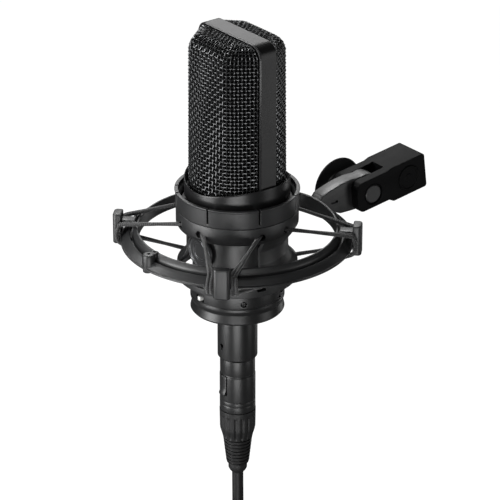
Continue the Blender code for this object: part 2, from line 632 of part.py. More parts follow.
def add_adapter(parent, looks):
    """The forked block that turns on the arm and screws on to a microphone stand."""
    half = ADAPTER_HALF_WIDTH
    adapter = add_object("stand_adapter", prism_mesh("stand_adapter", adapter_outline(), -half, half, "x"),
                         looks["black_plastic"], parent)
    slot = box_outline((FORK_FRONT - 0.002, -0.02), (FORK_SLOT_END, 0.02))
    cut(adapter, prism_mesh("fork_slot", slot, -FORK_SLOT, FORK_SLOT, "x"))
    cut(adapter, disc_mesh("bolt_hole", BOLT_RADIUS + GAP, -0.012, 0.012, "x", segments=24))
    cut(adapter, disc_mesh("head_recess", BOLT_RECESS_RADIUS, half - BOLT_RECESS_DEPTH, half + 0.002, "x",
                           segments=24))
    cut(adapter, disc_mesh("socket", SOCKET_BORE, ADAPTER_LENGTH - SOCKET_DEPTH, ADAPTER_LENGTH + 0.002, "y",
                           segments=24))
    floor = half - ADAPTER_BADGE_DEPTH
    cut(adapter, disc_mesh("badge_recess", ADAPTER_BADGE_RADIUS, floor, half + 0.002, "x",
                           (ADAPTER_BADGE_Y, 0), 32))
    depth = (ADAPTER_LENGTH - SOCKET_DEPTH + GAP, ADAPTER_LENGTH - GAP)
    insert = revolved_mesh("thread_insert", tube_profile(THREAD_BORE, SOCKET_BORE - GAP, *depth), 24)
    add_object("thread_insert", insert, looks["brass"], parent, rotation=(-math.pi / 2, 0, 0))
    badge = disc_mesh("adapter_badge", ADAPTER_BADGE_RADIUS - GAP, floor + GAP, half + GAP, "x", segments=24)
    add_object("adapter_badge", badge, looks["black_plastic"], parent, (0, ADAPTER_BADGE_Y, 0))


def add_pivot(parent, looks):
    """The pivot bolt with its washers, and the paddle knob that tightens it."""
    seat = ADAPTER_HALF_WIDTH - BOLT_RECESS_DEPTH + GAP
    shank = disc_mesh("pivot_bolt", BOLT_RADIUS, KNOB_INNER + GAP, seat + GAP, "x", segments=24)
    bolt = add_object("pivot_bolt", shank, looks["black_metal"], parent)
    head = disc_mesh("bolt_head", BOLT_HEAD_RADIUS, seat, ADAPTER_HALF_WIDTH, "x", segments=24)
    cut(bolt, head, "UNION")
    for name, side in (("washer_left", -1), ("washer_right", 1)):
        low, high = sorted((side * (ARM_HALF_WIDTH + 0.0001), side * (FORK_SLOT - 0.0001)))
        profile = tube_profile(BOLT_RADIUS + GAP, 0.0065, low, high)
        washer = revolved_mesh(name, profile, 24)
        add_object(name, washer, looks["nylon"], parent, rotation=(0, math.pi / 2, 0))


def add_knob(parent, looks):
    """The round paddle that tightens the pivot bolt; its centre sits a little off the bolt's axis."""
    rim = 0.0016
    profile = [(0, KNOB_OUTER), (KNOB_RADIUS - rim, KNOB_OUTER), (KNOB_RADIUS, KNOB_OUTER + rim),
               (KNOB_RADIUS, KNOB_INNER - rim), (KNOB_RADIUS - rim, KNOB_INNER), (0, KNOB_INNER)]
    knob = revolved_mesh("clamp_knob", profile)
    knob.transform(Matrix.Translation((0, *KNOB_OFFSET)) @ Matrix.Rotation(math.pi / 2, 4, "Y"))
    add_object("clamp_knob", knob, looks["black_plastic"], parent)


# ---------------------------------------------------------------- cable plug

def boot_profile():
    """The rubber boot: a straight upper sleeve, a narrowing neck and a round tail, hollow for the chuck."""
    top = PLUG_SHELL_BOTTOM - GAP
    outer = [(0.0097, top), (0.0096, top - 0.0120), (0.0086, top - 0.0170)]
    neck_top, neck_bottom = top - 0.0190, top - 0.0298
    outer += [(0.0082, neck_top), (0.0064, neck_bottom)]
    outer += [(0.0052, neck_bottom), (0.0050, neck_bottom - 0.0028), (0.0040, BOOT_BOTTOM)]
    chuck_room, chuck_floor = CHUCK_RADIUS + GAP, top - 0.0128
    inner = [(BOOT_BORE, BOOT_BOTTOM), (BOOT_BORE, chuck_floor), (chuck_room, chuck_floor), (chuck_room, top)]
    return outer + inner


def add_plug(parent, looks):
    """The female XLR plug that the microphone hangs its cable from."""
    bottom, groove = PLUG_SHELL_BOTTOM, -0.0798
    shoulder = XLR_COLLAR_BOTTOM - GAP
    profile = [(PLUG_BORE, PLUG_NOSE_TOP), (PLUG_BORE, bottom), (PLUG_RADIUS, bottom),
               (PLUG_RADIUS, groove - 0.0006), (PLUG_RADIUS - 0.0006, groove),
               (PLUG_RADIUS - 0.0001, groove + 0.0003), (PLUG_RADIUS - 0.0001, shoulder),
               (PLUG_NOSE_RADIUS, shoulder), (PLUG_NOSE_RADIUS, PLUG_NOSE_TOP)]
    shell = add_object("plug_shell", revolved_mesh("plug_shell", profile, 28), looks["black_metal"], parent)
    slot_half = LATCH_HALF_WIDTH + 0.0003
    cut(shell, prism_mesh("latch_slot", box_outline((-slot_half, -0.012), (slot_half, -0.004)),
                          LATCH_BOTTOM - 0.0003, LATCH_TOP + 0.0003, "z"))
    insert = disc_mesh("plug_insert", PLUG_BORE - GAP, LATCH_TOP + 0.0012, PLUG_NOSE_TOP - GAP, "z",
                       segments=28)
    insert_object = add_object("plug_insert", insert, looks["matte_plastic"], parent)
    sockets = []
    for azimuth in PIN_AZIMUTHS:
        x, y, _ = at_azimuth(PIN_CIRCLE, azimuth)
        sockets.append(disc_mesh("socket", PIN_RADIUS + GAP, -0.0700, PLUG_NOSE_TOP + 0.001, "z", (x, y), 12))
    cut(insert_object, merged_mesh("sockets", sockets))
    top = PLUG_SHELL_BOTTOM - GAP
    add_object("plug_boot", revolved_mesh("plug_boot", boot_profile(), 24), looks["rubber"], parent)
    chuck_profile = tube_profile(CABLE_RADIUS + GAP, CHUCK_RADIUS, top - 0.0122, top)
    chuck = revolved_mesh("cable_chuck", chuck_profile, 24)
    add_object("cable_chuck", chuck, looks["matte_plastic"], parent)
    cable = disc_mesh("cable", CABLE_RADIUS, CABLE_END, top + 0.0030, "z", segments=24)
    add_object("cable", cable, looks["rubber"], parent)


def add_latch(parent, looks):
    """The push tab of the plug, hinged at its lower end."""
    length = LATCH_TOP - LATCH_BOTTOM
    face, lug = -0.0024, -0.0034
    outline = [(0, 0), (lug, 0), (lug, 0.0016), (face, 0.0030), (face, length), (0, length)]
    mesh = prism_mesh("latch_tab", outline, -LATCH_HALF_WIDTH, LATCH_HALF_WIDTH, "x")
    add_object("latch_tab", mesh, looks["black_metal"], parent)


def make_looks():
    black = (0.012, 0.012, 0.013)
    return {
        "black_metal": make_material("black_metal", black, 0.42, 0.6),
        "woven_wire": make_material("woven_wire", (0.02, 0.02, 0.02), 0.35, 0.8),
        "fine_mesh": make_material("fine_mesh", (0.004, 0.004, 0.004), 0.6, 0.3),
        "black_plastic": make_material("black_plastic", black, 0.5, 0.0),
        "matte_plastic": make_material("matte_plastic", (0.02, 0.02, 0.02), 0.65, 0.0),
        "rubber": make_material("rubber", (0.01, 0.01, 0.01), 0.75, 0.0),
        "elastic": make_material("elastic", (0.015, 0.015, 0.015), 0.9, 0.0),
        "brass": make_material("brass", (0.62, 0.46, 0.18), 0.3, 1.0),
        "gold": make_material("gold", (0.80, 0.58, 0.22), 0.25, 1.0),
        "gold_film": make_material("gold_film", (0.85, 0.62, 0.24), 0.2, 1.0),
        "silver_paint": make_material("silver_paint", (0.05, 0.05, 0.055), 0.4, 0.5),
        "zinc": make_material("zinc", (0.35, 0.35, 0.36), 0.4, 0.9),
        "screw": make_material("screw", (0.03, 0.03, 0.03), 0.3, 0.9),
        "board": make_material("board", (0.02, 0.10, 0.04), 0.45, 0.0),
        "white_plastic": make_material("white_plastic", (0.75, 0.75, 0.73), 0.4, 0.0),
        "green_plastic": make_material("green_plastic", (0.02, 0.03, 0.02), 0.5, 0.0),
        "nylon": make_material("nylon", (0.5, 0.5, 0.48), 0.5, 0.0),
    }


def build():
    clear_scene()
    looks = make_looks()
    ring_frame = add_empty("ring_frame", (0, 0, RING_HEIGHT))
    pivot = add_empty("swivel_axis", (0, PIVOT_Y, PIVOT_Z), ring_frame)
    adapter_frame = add_empty("adapter_frame", (0, 0, 0), pivot, (ADAPTER_TILT, 0, 0))
    latch_hinge = add_empty("latch_hinge", (0, LATCH_HINGE_Y, LATCH_BOTTOM), ring_frame)
    add_head(ring_frame, looks)
    add_capsule(ring_frame, looks)
    add_body(ring_frame, looks)
    add_base(ring_frame, looks)
    add_ring(ring_frame, looks)
    add_clips(ring_frame, looks)
    add_cords(ring_frame, looks)
    add_cradle(ring_frame, looks)
    add_adapter(adapter_frame, looks)
    add_pivot(pivot, looks)
    add_knob(pivot, looks)
    add_plug(ring_frame, looks)
    add_latch(latch_hinge, looks)


build()
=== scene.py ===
"""The looks of the condenser microphone in its shock mount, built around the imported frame."""
import math

import bmesh
import bpy
import numpy as np
from mathutils import Matrix, Vector


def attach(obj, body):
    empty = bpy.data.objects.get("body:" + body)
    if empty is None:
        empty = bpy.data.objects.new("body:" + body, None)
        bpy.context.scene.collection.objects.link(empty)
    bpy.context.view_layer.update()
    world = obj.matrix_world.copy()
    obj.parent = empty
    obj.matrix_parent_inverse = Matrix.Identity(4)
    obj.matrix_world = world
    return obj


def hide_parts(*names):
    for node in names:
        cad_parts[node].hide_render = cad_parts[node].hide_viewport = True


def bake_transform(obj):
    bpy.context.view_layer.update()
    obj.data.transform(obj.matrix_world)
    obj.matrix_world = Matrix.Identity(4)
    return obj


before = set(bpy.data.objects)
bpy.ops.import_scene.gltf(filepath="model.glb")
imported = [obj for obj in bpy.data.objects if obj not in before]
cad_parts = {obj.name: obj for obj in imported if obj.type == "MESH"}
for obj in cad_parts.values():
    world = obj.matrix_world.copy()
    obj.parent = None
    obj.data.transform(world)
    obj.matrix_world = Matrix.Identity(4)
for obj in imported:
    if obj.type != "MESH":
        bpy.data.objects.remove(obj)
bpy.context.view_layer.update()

# The ring's middle plane; the pieces' heights are measured from it
RING_HEIGHT = 0.172
UP = Vector((0, 0, RING_HEIGHT))
# The room that a piece keeps to its neighbour
GAP = 0.0003

# Head
HEAD_TOP = 0.1128
HALF_SPAN = 0.0262
STRAP_WIDTH = 0.0106
STRAP_CORNER = 0.0070
HEAD_DEPTH = 0.0211
FLAT_HALF_WIDTH = 0.0152
HEAD_SHARPNESS = 20
SHOULDER_X = 0.0060
SHOULDER_Y = 0.0085
COLLAR_TOP = 0.0354
COLLAR_RIM = 0.0030
COLLAR_SCOOP = 0.0043
COLLAR_SHARPNESS = 2.6
WIRE_PITCH = 0.00195
WIRE_RADIUS = 0.00038
WEAVE_LIFT = 0.00034
WIRE_INSET = 0.0014
SCREEN_INSET = 0.0026

# Swivel
PIVOT = Vector((0, 0.0842, RING_HEIGHT + 0.0030))
ADAPTER_TILT = math.radians(7)


# ---------------------------------------------------------------- mesh helpers

CREASE_ANGLE = 38
EDGE_ANGLE = 32


def mesh_object(name, work):
    """A smooth-shaded object from a bmesh, its faces turned outward."""
    bmesh.ops.recalc_face_normals(work, faces=work.faces)
    mesh = bpy.data.meshes.new(name)
    work.to_mesh(mesh)
    work.free()
    obj = bpy.data.objects.new(name, mesh)
    bpy.context.scene.collection.objects.link(obj)
    smooth(obj)
    return obj


def smooth(obj):
    """Shade smooth, with a crease wherever the surface turns sharply."""
    obj.data.shade_smooth()
    obj.data.set_sharp_from_angle(angle=math.radians(CREASE_ANGLE))


def bake(obj):
    """Replace an object's mesh by what its modifiers make of it."""
    evaluated = obj.evaluated_get(bpy.context.evaluated_depsgraph_get())
    mesh = bpy.data.meshes.new_from_object(evaluated)
    obj.modifiers.clear()
    obj.data = mesh
    smooth(obj)


def soften(obj, width, segments=2):
    """Round an object's sharp edges."""
    bevel = obj.modifiers.new("edges", "BEVEL")
    bevel.width = width
    bevel.segments = segments
    bevel.limit_method = "ANGLE"
    bevel.angle_limit = math.radians(EDGE_ANGLE)
    bake(obj)
    return obj


def carve(obj, cutters, operation="DIFFERENCE"):
    """Cut other solids out of an object, or join them to it."""
    for cutter in cutters:
        modifier = obj.modifiers.new("carve", "BOOLEAN")
        modifier.operation = operation
        modifier.object = cutter
    bpy.context.view_layer.update()
    bake(obj)
    for cutter in cutters:
        bpy.data.objects.remove(cutter, do_unlink=True)
    return obj


def at_azimuth(radius, degrees, height=0.0):
    """A point at an azimuth from the front (-Y) towards +X, its height from the ring's middle plane."""
    angle = math.radians(degrees)
    return Vector((radius * math.sin(angle), -radius * math.cos(angle), height))


def arc(centre, radius, start, end, steps):
    """Points along an arc, with its angles in degrees."""
    angles = np.radians(np.linspace(start, end, steps + 1))
    return [(centre[0] + radius * math.cos(a), centre[1] + radius * math.sin(a)) for a in angles]


def rounded(points, radius, steps=3):
    """A closed outline with its corners rounded, less where its sides are short."""
    result = []
    count = len(points)
    for i in range(count):
        before, corner, after = (Vector(points[(i + k) % count]) for k in (-1, 0, 1))
        to_before, to_after = before - corner, after - corner
        if to_before.length < 1e-6 or to_after.length < 1e-6:
            continue
        reach = min(radius, 0.45 * to_before.length, 0.45 * to_after.length)
        start = corner + to_before.normalized() * reach
        end = corner + to_after.normalized() * reach
        for step in range(steps + 1):
            part = step / steps
            result.append(tuple(start * (1 - part) ** 2 + corner * 2 * part * (1 - part) + end * part ** 2))
    return result


def lathe(name, profile, segments=120, fillet=0.0003, start=0.0, sweep=360.0):
    """Turn a closed (radius, height) outline about Z, fully or over part of a circle."""
    outline = rounded(profile, fillet) if fillet else profile
    full = sweep >= 360
    count = segments if full else segments + 1
    work = bmesh.new()
    rings = []
    for step in range(count):
        degrees = start + sweep * step / segments
        rings.append([work.verts.new(at_azimuth(r, degrees, z) + UP) for r, z in outline])
    for step in range(segments):
        ring, after = rings[step], rings[(step + 1) % count]
        for i in range(len(outline)):
            j = (i + 1) % len(outline)
            work.faces.new([ring[i], ring[j], after[j], after[i]])
    if not full:
        work.faces.new(rings[0])
        work.faces.new(rings[-1])
    bmesh.ops.remove_doubles(work, verts=work.verts, dist=1e-6)
    return mesh_object(name, work)


def along_axis(axis, point, depth):
    """An outline's point at a depth along an axis: (y, z) for axis x, (x, z) for y and (x, y) for z."""
    a, b = point
    return {"x": (depth, a, b), "y": (a, depth, b), "z": (a, b, depth)}[axis]


def prism(name, outline, low, high, axis, matrix=None):
    """Extrude a closed outline along an axis."""
    work = bmesh.new()
    lower = [work.verts.new(along_axis(axis, point, low)) for point in outline]
    upper = [work.verts.new(along_axis(axis, point, high)) for point in outline]
    work.faces.new(lower)
    work.faces.new(upper)
    for i in range(len(outline)):
        j = (i + 1) % len(outline)
        work.faces.new([lower[i], lower[j], upper[j], upper[i]])
    work.transform(matrix if matrix else Matrix.Translation(UP))
    return mesh_object(name, work)


def disc(name, radius, low, high, axis, centre=(0, 0), segments=32, matrix=None):
    """A round prism along an axis."""
    return prism(name, arc(centre, radius, 0, 360, segments)[:-1], low, high, axis, matrix)


def box_outline(low, high):
    """A rectangle between two opposite corners."""
    return [(low[0], low[1]), (high[0], low[1]), (high[0], high[1]), (low[0], high[1])]


def centred_box(half_width, half_height, height=0.0):
    """A rectangle centred sideways and about a height."""
    return box_outline((-half_width, height - half_height), (half_width, height + half_height))


def turned(degrees, height=0.0):
    """The placement of a piece made at the front and turned to an azimuth."""
    return Matrix.Translation(UP + Vector((0, 0, height))) @ Matrix.Rotation(math.radians(degrees), 4, "Z")


def tubes(name, lines, radius, sides):
    """Round wires along lines; each line is (points, normals), arrays that keep the wire from twisting."""
    verts, faces, coords = [], [], []
    turn = np.linspace(0, 2 * math.pi, sides, endpoint=False)
    offset = 0
    for points, normals in lines:
        tangent = np.gradient(points, axis=0)
        tangent /= np.linalg.norm(tangent, axis=1)[:, None]
        across = np.cross(tangent, normals)
        across /= np.linalg.norm(across, axis=1)[:, None]
        out = np.cross(across, tangent)
        ring = points[:, None] + radius * (np.cos(turn)[None, :, None] * across[:, None]
                                           + np.sin(turn)[None, :, None] * out[:, None])
        verts.append(ring.reshape(-1, 3))
        steps = np.concatenate([[0], np.cumsum(np.linalg.norm(np.diff(points, axis=0), axis=1))])
        coords.append(np.repeat(steps, sides))
        count = len(points)
        for i in range(count - 1):
            for k in range(sides):
                m = (k + 1) % sides
                a, b = offset + i * sides, offset + (i + 1) * sides
                faces.append((a + k, a + m, b + m, b + k))
        faces.append(tuple(offset + k for k in reversed(range(sides))))
        faces.append(tuple(offset + (count - 1) * sides + k for k in range(sides)))
        offset += count * sides
    mesh = bpy.data.meshes.new(name)
    mesh.from_pydata(np.concatenate(verts).tolist(), [], faces)
    length = mesh.attributes.new("along", "FLOAT", "POINT")
    length.data.foreach_set("value", np.concatenate(coords).astype(np.float32))
    obj = bpy.data.objects.new(name, mesh)
    bpy.context.scene.collection.objects.link(obj)
    work = bmesh.new()
    work.from_mesh(mesh)
    bmesh.ops.recalc_face_normals(work, faces=work.faces)
    work.to_mesh(mesh)
    work.free()
    smooth(obj)
    return obj


def place_piece(obj, body, material, *nodes):
    """Give a piece its material, its body and the CAD nodes that it stands for."""
    obj.data.materials.clear()
    obj.data.materials.append(material)
    if body:
        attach(obj, body)
    if nodes:
        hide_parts(*nodes)
    return obj


# ---------------------------------------------------------------- materials

BRAID_PITCH = 0.0011
PORE_SCALE = 1900.0


def node(tree, kind, **inputs):
    """A shader node with its inputs set by name."""
    made = tree.nodes.new(kind)
    for key, value in inputs.items():
        made.inputs[key.replace("_", " ")].default_value = value
    return made


def surface(name, colour, roughness, metallic=0.0, grain=2500.0, bump=0.02, mottle=0.12, edge=0.00025,
            edge_wear_and_highlight=0.0, specular=0.5, sheen=0.0):
    """A moulded or painted surface: fine grain, uneven gloss, soft edges and lighter edges, partly wear and
    partly a painted highlight.
    """
    material = bpy.data.materials.new(name)
    material.use_nodes = True
    tree = material.node_tree
    shader = tree.nodes["Principled BSDF"]
    shader.inputs["Metallic"].default_value = metallic
    shader.inputs["Specular IOR Level"].default_value = specular
    shader.inputs["Sheen Weight"].default_value = sheen
    place = node(tree, "ShaderNodeTexCoord")
    cloud = node(tree, "ShaderNodeTexNoise", Scale=90.0, Detail=5.0, Roughness=0.6)
    grit = node(tree, "ShaderNodeTexNoise", Scale=grain, Detail=3.0, Roughness=0.6)
    tree.links.new(place.outputs["Object"], cloud.inputs["Vector"])
    tree.links.new(place.outputs["Object"], grit.inputs["Vector"])
    gloss = node(tree, "ShaderNodeMapRange", To_Min=roughness * (1 - mottle), To_Max=roughness * (1 + mottle))
    tree.links.new(cloud.outputs["Fac"], gloss.inputs["Value"])
    tree.links.new(gloss.outputs["Result"], shader.inputs["Roughness"])
    tint = node(tree, "ShaderNodeMix")
    tint.data_type = "RGBA"
    tint.inputs["A"].default_value = (*[c * (1 - mottle) for c in colour], 1)
    tint.inputs["B"].default_value = (*[min(1.0, c * (1 + mottle)) for c in colour], 1)
    tree.links.new(cloud.outputs["Fac"], tint.inputs["Factor"])
    rim = node(tree, "ShaderNodeBevel", Radius=edge)
    rim.samples = 4
    relief = node(tree, "ShaderNodeBump", Strength=bump, Distance=0.0002)
    tree.links.new(grit.outputs["Fac"], relief.inputs["Height"])
    tree.links.new(rim.outputs["Normal"], relief.inputs["Normal"])
    tree.links.new(relief.outputs["Normal"], shader.inputs["Normal"])
    colour_out = tint.outputs["Result"]
    # Lighter edges: partly wear, partly a painted highlight along the edges
    if edge_wear_and_highlight:
        colour_out = add_edge_wear_and_highlight(tree, rim, cloud, colour_out, colour, edge_wear_and_highlight)
    tree.links.new(colour_out, shader.inputs["Base Color"])
    return material


def add_edge_wear_and_highlight(tree, rim, cloud, colour_out, colour, edge_wear_and_highlight):
    """Lighten the colour where the surface turns sharply, more in some patches than in others: partly edge
    wear, partly a painted edge highlight.
    """
    geometry = node(tree, "ShaderNodeNewGeometry")
    facing = tree.nodes.new("ShaderNodeVectorMath")
    facing.operation = "DOT_PRODUCT"
    tree.links.new(rim.outputs["Normal"], facing.inputs[0])
    tree.links.new(geometry.outputs["True Normal"], facing.inputs[1])
    turn = node(tree, "ShaderNodeMapRange", From_Min=0.995, From_Max=0.90, To_Min=0.0, To_Max=edge_wear_and_highlight)
    tree.links.new(facing.outputs["Value"], turn.inputs["Value"])
    patch = tree.nodes.new("ShaderNodeMath")
    patch.operation = "MULTIPLY"
    tree.links.new(turn.outputs["Result"], patch.inputs[0])
    tree.links.new(cloud.outputs["Fac"], patch.inputs[1])
    mix = node(tree, "ShaderNodeMix")
    mix.data_type = "RGBA"
    # The lighter edge colour: partly wear, partly painted highlight
    mix.inputs["B"].default_value = (*[min(1.0, c * 5 + 0.02) for c in colour], 1)
    tree.links.new(patch.outputs["Value"], mix.inputs["Factor"])
    tree.links.new(colour_out, mix.inputs["A"])
    return mix.outputs["Result"]


def braid_surface(name, colour):
    """Braided elastic cord: diagonal ridges that run along the cord's own length."""
    material = surface(name, colour, 0.62, grain=3000.0, bump=0.25, edge=0.0001, sheen=0.3)
    tree = material.node_tree
    shader = tree.nodes["Principled BSDF"]
    along = tree.nodes.new("ShaderNodeAttribute")
    along.attribute_name = "along"
    wave = tree.nodes.new("ShaderNodeMath")
    wave.operation = "MULTIPLY"
    wave.inputs[1].default_value = 2 * math.pi / BRAID_PITCH
    ridge = tree.nodes.new("ShaderNodeMath")
    ridge.operation = "SINE"
    relief = node(tree, "ShaderNodeBump", Strength=0.6, Distance=0.00015)
    tree.links.new(along.outputs["Fac"], wave.inputs[0])
    tree.links.new(wave.outputs["Value"], ridge.inputs[0])
    tree.links.new(ridge.outputs["Value"], relief.inputs["Height"])
    before = shader.inputs["Normal"].links[0].from_socket
    tree.links.new(before, relief.inputs["Normal"])
    tree.links.new(relief.outputs["Normal"], shader.inputs["Normal"])
    return material


def screen_surface(name):
    """The fine inner screen: dark, with a close weave of pores that let a little of the inside show."""
    material = surface(name, (0.0015, 0.0015, 0.0016), 0.6, edge=0.0001, specular=0.05)
    tree = material.node_tree
    shader = tree.nodes["Principled BSDF"]
    pores = node(tree, "ShaderNodeTexVoronoi", Scale=PORE_SCALE)
    place = node(tree, "ShaderNodeTexCoord")
    tree.links.new(place.outputs["Object"], pores.inputs["Vector"])
    opening = node(tree, "ShaderNodeMapRange", From_Min=0.25, From_Max=0.4, To_Min=0.85, To_Max=1.0)
    tree.links.new(pores.outputs["Distance"], opening.inputs["Value"])
    tree.links.new(opening.outputs["Result"], shader.inputs["Alpha"])
    return material


def make_looks():
    """Every look by its short name; nearly all are blacks that differ in gloss, grain and lighter edges, which
    are partly wear and partly a painted highlight.
    """
    return {
        "paint": surface("black_paint", (0.010, 0.0102, 0.0105), 0.36, 0.2, grain=1800, bump=0.05, edge_wear_and_highlight=0.3),
        "strap": surface("strap_paint", (0.007, 0.0071, 0.0074), 0.34, 0.2, grain=1800, bump=0.05,
                         edge_wear_and_highlight=0.4, specular=0.4),
        "wire": surface("black_wire", (0.042, 0.043, 0.044), 0.24, 0.8, grain=3500, bump=0.05, edge=0.00008),
        "screen": screen_surface("fine_screen"),
        "plastic": surface("moulded_plastic", (0.012, 0.0123, 0.0127), 0.42, grain=2200, bump=0.07, edge_wear_and_highlight=0.6),
        # A darker copy of the moulded plastic for the stand adapter and its badge: partly their own colour,
        # partly painted shade that keeps their tops dark
        "shaded_dark_plastic": surface("shaded_dark_plastic", (0.0030, 0.0031, 0.0033), 0.55, grain=2200, bump=0.05,
                                edge_wear_and_highlight=0.5, specular=0.07),
        "rubber": surface("black_rubber", (0.006, 0.006, 0.0063), 0.48, grain=1500, bump=0.12,
                          mottle=0.2, specular=0.4),
        "cord": braid_surface("braided_cord", (0.008, 0.008, 0.0085)),
        "cable": surface("cable_jacket", (0.005, 0.005, 0.0053), 0.44, grain=900, bump=0.08,
                         mottle=0.2, specular=0.32),
        "brass": surface("machined_brass", (0.62, 0.46, 0.18), 0.28, 1.0, grain=1200, bump=0.04),
        "gold": surface("gold_plate", (0.80, 0.58, 0.22), 0.20, 1.0, grain=1500, bump=0.03),
        "zinc": surface("cast_metal", (0.35, 0.35, 0.36), 0.38, 0.9, grain=800, bump=0.1),
        "steel": surface("black_steel", (0.03, 0.03, 0.03), 0.28, 0.9, grain=1500, bump=0.05),
        "badge": surface("badge_metal", (0.06, 0.061, 0.063), 0.30, 0.7, grain=1500, bump=0.05, edge_wear_and_highlight=1.0),
        "board": surface("circuit_board", (0.02, 0.10, 0.04), 0.4, grain=600, bump=0.1),
        "white": surface("white_plastic", (0.80, 0.80, 0.78), 0.35, grain=1500, bump=0.03, mottle=0.05),
        "grey": surface("grey_plastic", (0.05, 0.05, 0.052), 0.38, grain=1500, bump=0.03, mottle=0.05),
        "nylon": surface("nylon", (0.50, 0.50, 0.48), 0.45, grain=900, bump=0.06),
    }


# ---------------------------------------------------------------- microphone head

HEAD_EDGE = STRAP_WIDTH / 2 + GAP
HEAD_BASE = 0.0291
STRAP_WALL = 0.0018
SHEET_WALL = 0.00025
FIRST_WIRE = 0.012


def head_radius(angle, squareness, inset):
    """Distance from the middle of the strap's edge: round at the base, with three flats at the top."""
    side, front = HALF_SPAN - inset, HEAD_DEPTH - HEAD_EDGE - inset
    slope = Vector((front, side - FLAT_HALF_WIDTH)).normalized()
    inverse = np.abs(np.sin(angle) / front) ** HEAD_SHARPNESS
    for direction in (1, -1):
        facing = direction * np.cos(angle) * slope.x + np.sin(angle) * slope.y
        inverse += (np.maximum(facing, 0) / (side * slope.x)) ** HEAD_SHARPNESS
    flat_sided = inverse ** (-1 / HEAD_SHARPNESS)
    curved = np.sqrt(side ** 2 - (HEAD_EDGE * np.cos(angle)) ** 2) - HEAD_EDGE * np.sin(angle)
    return flat_sided * squareness + curved * (1 - squareness)


def head_runs(inset):
    """Lengths of the wall, the shoulder and the flat top along the middle of the front, and the depth."""
    wall = HEAD_TOP - inset - SHOULDER_Y - HEAD_BASE
    depth = HEAD_DEPTH - HEAD_EDGE - inset
    return wall, math.pi / 2 * SHOULDER_Y, depth - SHOULDER_Y, depth


def head_points(angles, runs, inset, facing):
    """Points of one half of the head, a grid over angles and distances run up from the base."""
    wall, shoulder, flat, depth = head_runs(inset)
    run, angle = np.meshgrid(runs, angles, indexing="ij")
    turn = np.clip((run - wall) / shoulder, 0, 1) * math.pi / 2
    closing = np.clip((run - wall - shoulder) / flat, 0, 1)
    tuck = 1 - np.cos(turn)
    radius = head_radius(angle, np.clip(run / wall, 0, 1), inset)
    x = radius * np.cos(angle) * (1 - tuck * SHOULDER_X / (HALF_SPAN - inset))
    y = HEAD_EDGE + radius * np.sin(angle) * (1 - tuck * SHOULDER_Y / depth) * (1 - closing)
    z = HEAD_BASE + np.minimum(run, wall) + SHOULDER_Y * np.sin(turn)
    return np.stack([x, facing * y, z + RING_HEIGHT], axis=-1)


def even_angles(count, inset):
    """Angles that space a number of wires evenly along the head's outline halfway up."""
    dense = np.linspace(0, math.pi, 721)
    radius = head_radius(dense, 0.6, inset)
    line = np.stack([radius * np.cos(dense), radius * np.sin(dense)], axis=1)
    length = np.concatenate([[0], np.cumsum(np.linalg.norm(np.diff(line, axis=0), axis=1))])
    return np.interp(np.linspace(0, length[-1], count), length, dense), length[-1]


def grille(name, facing, material):
    """Woven wire: wires up the head and wires across it, each passing over and under the other set."""
    _, girth = even_angles(3, WIRE_INSET)
    wall, shoulder, flat, _ = head_runs(WIRE_INSET)
    columns = int(girth / WIRE_PITCH)
    rows = int((wall + shoulder + flat) / WIRE_PITCH)
    angles, _ = even_angles(2 * columns + 1, WIRE_INSET)
    angles = np.clip(angles, FIRST_WIRE, math.pi - FIRST_WIRE)
    runs = np.linspace(0, (wall + shoulder + flat) * 0.995, 2 * rows + 1)
    points = head_points(angles, runs, WIRE_INSET, facing)
    normals = np.cross(np.gradient(points, axis=1), np.gradient(points, axis=0))
    normals /= np.maximum(np.linalg.norm(normals, axis=2), 1e-12)[..., None]
    points_outward = (normals[2, columns, 1] > 0) == (facing > 0)
    if not points_outward:
        normals = -normals
    lines = []
    level = np.arange(len(runs)) / 2
    for i in range(columns + 1):
        lift = WEAVE_LIFT * np.cos(math.pi * (level + i))
        lines.append((points[:, 2 * i] + normals[:, 2 * i] * lift[:, None], normals[:, 2 * i]))
    place = np.arange(len(angles)) / 2
    for j in range(rows + 1):
        lift = -WEAVE_LIFT * np.cos(math.pi * (place + j))
        lines.append((points[2 * j] + normals[2 * j] * lift[:, None], normals[2 * j]))
    obj = tubes(f"{name}_weave", lines, WIRE_RADIUS, 6)
    return place_piece(obj, "microphone", material, name)


def screen(name, facing, material):
    """The fine screen behind the wires, as one thin pressed sheet."""
    wall, shoulder, flat, _ = head_runs(SCREEN_INSET)
    angles = np.linspace(0.0, math.pi, 61)
    runs = np.linspace(0, (wall + shoulder + flat) * 0.999, 73)
    points = head_points(angles, runs, SCREEN_INSET, facing)
    work = bmesh.new()
    grid = [[work.verts.new(point) for point in row] for row in points]
    for lower, upper in zip(grid, grid[1:]):
        for i in range(len(lower) - 1):
            work.faces.new([lower[i], lower[i + 1], upper[i + 1], upper[i]])
    bmesh.ops.remove_doubles(work, verts=work.verts, dist=1e-6)
    obj = mesh_object(f"{name}_sheet", work)
    thicken = obj.modifiers.new("sheet", "SOLIDIFY")
    thicken.thickness = SHEET_WALL
    thicken.offset = 0
    bake(obj)
    return place_piece(obj, "microphone", material, name)


def head_strap(material):
    """The arch over the head, slightly proud of the wire."""
    half, inner, base = HALF_SPAN, HALF_SPAN - STRAP_WALL, HEAD_BASE
    bend = HEAD_TOP - STRAP_CORNER
    bend_inner = STRAP_CORNER - STRAP_WALL
    outline = [(half, base)] + arc((half - STRAP_CORNER, bend), STRAP_CORNER, 0, 90, 14)
    outline += arc((STRAP_CORNER - half, bend), STRAP_CORNER, 90, 180, 14) + [(-half, base), (-inner, base)]
    outline += arc((STRAP_CORNER - half, bend), bend_inner, 180, 90, 14)
    outline += arc((half - STRAP_CORNER, bend), bend_inner, 90, 0, 14) + [(inner, base)]
    strap = prism("head_strap", outline, -STRAP_WIDTH / 2, STRAP_WIDTH / 2, "y")
    soften(strap, 0.00055, 1)
    return place_piece(strap, "microphone", material, "head_frame")


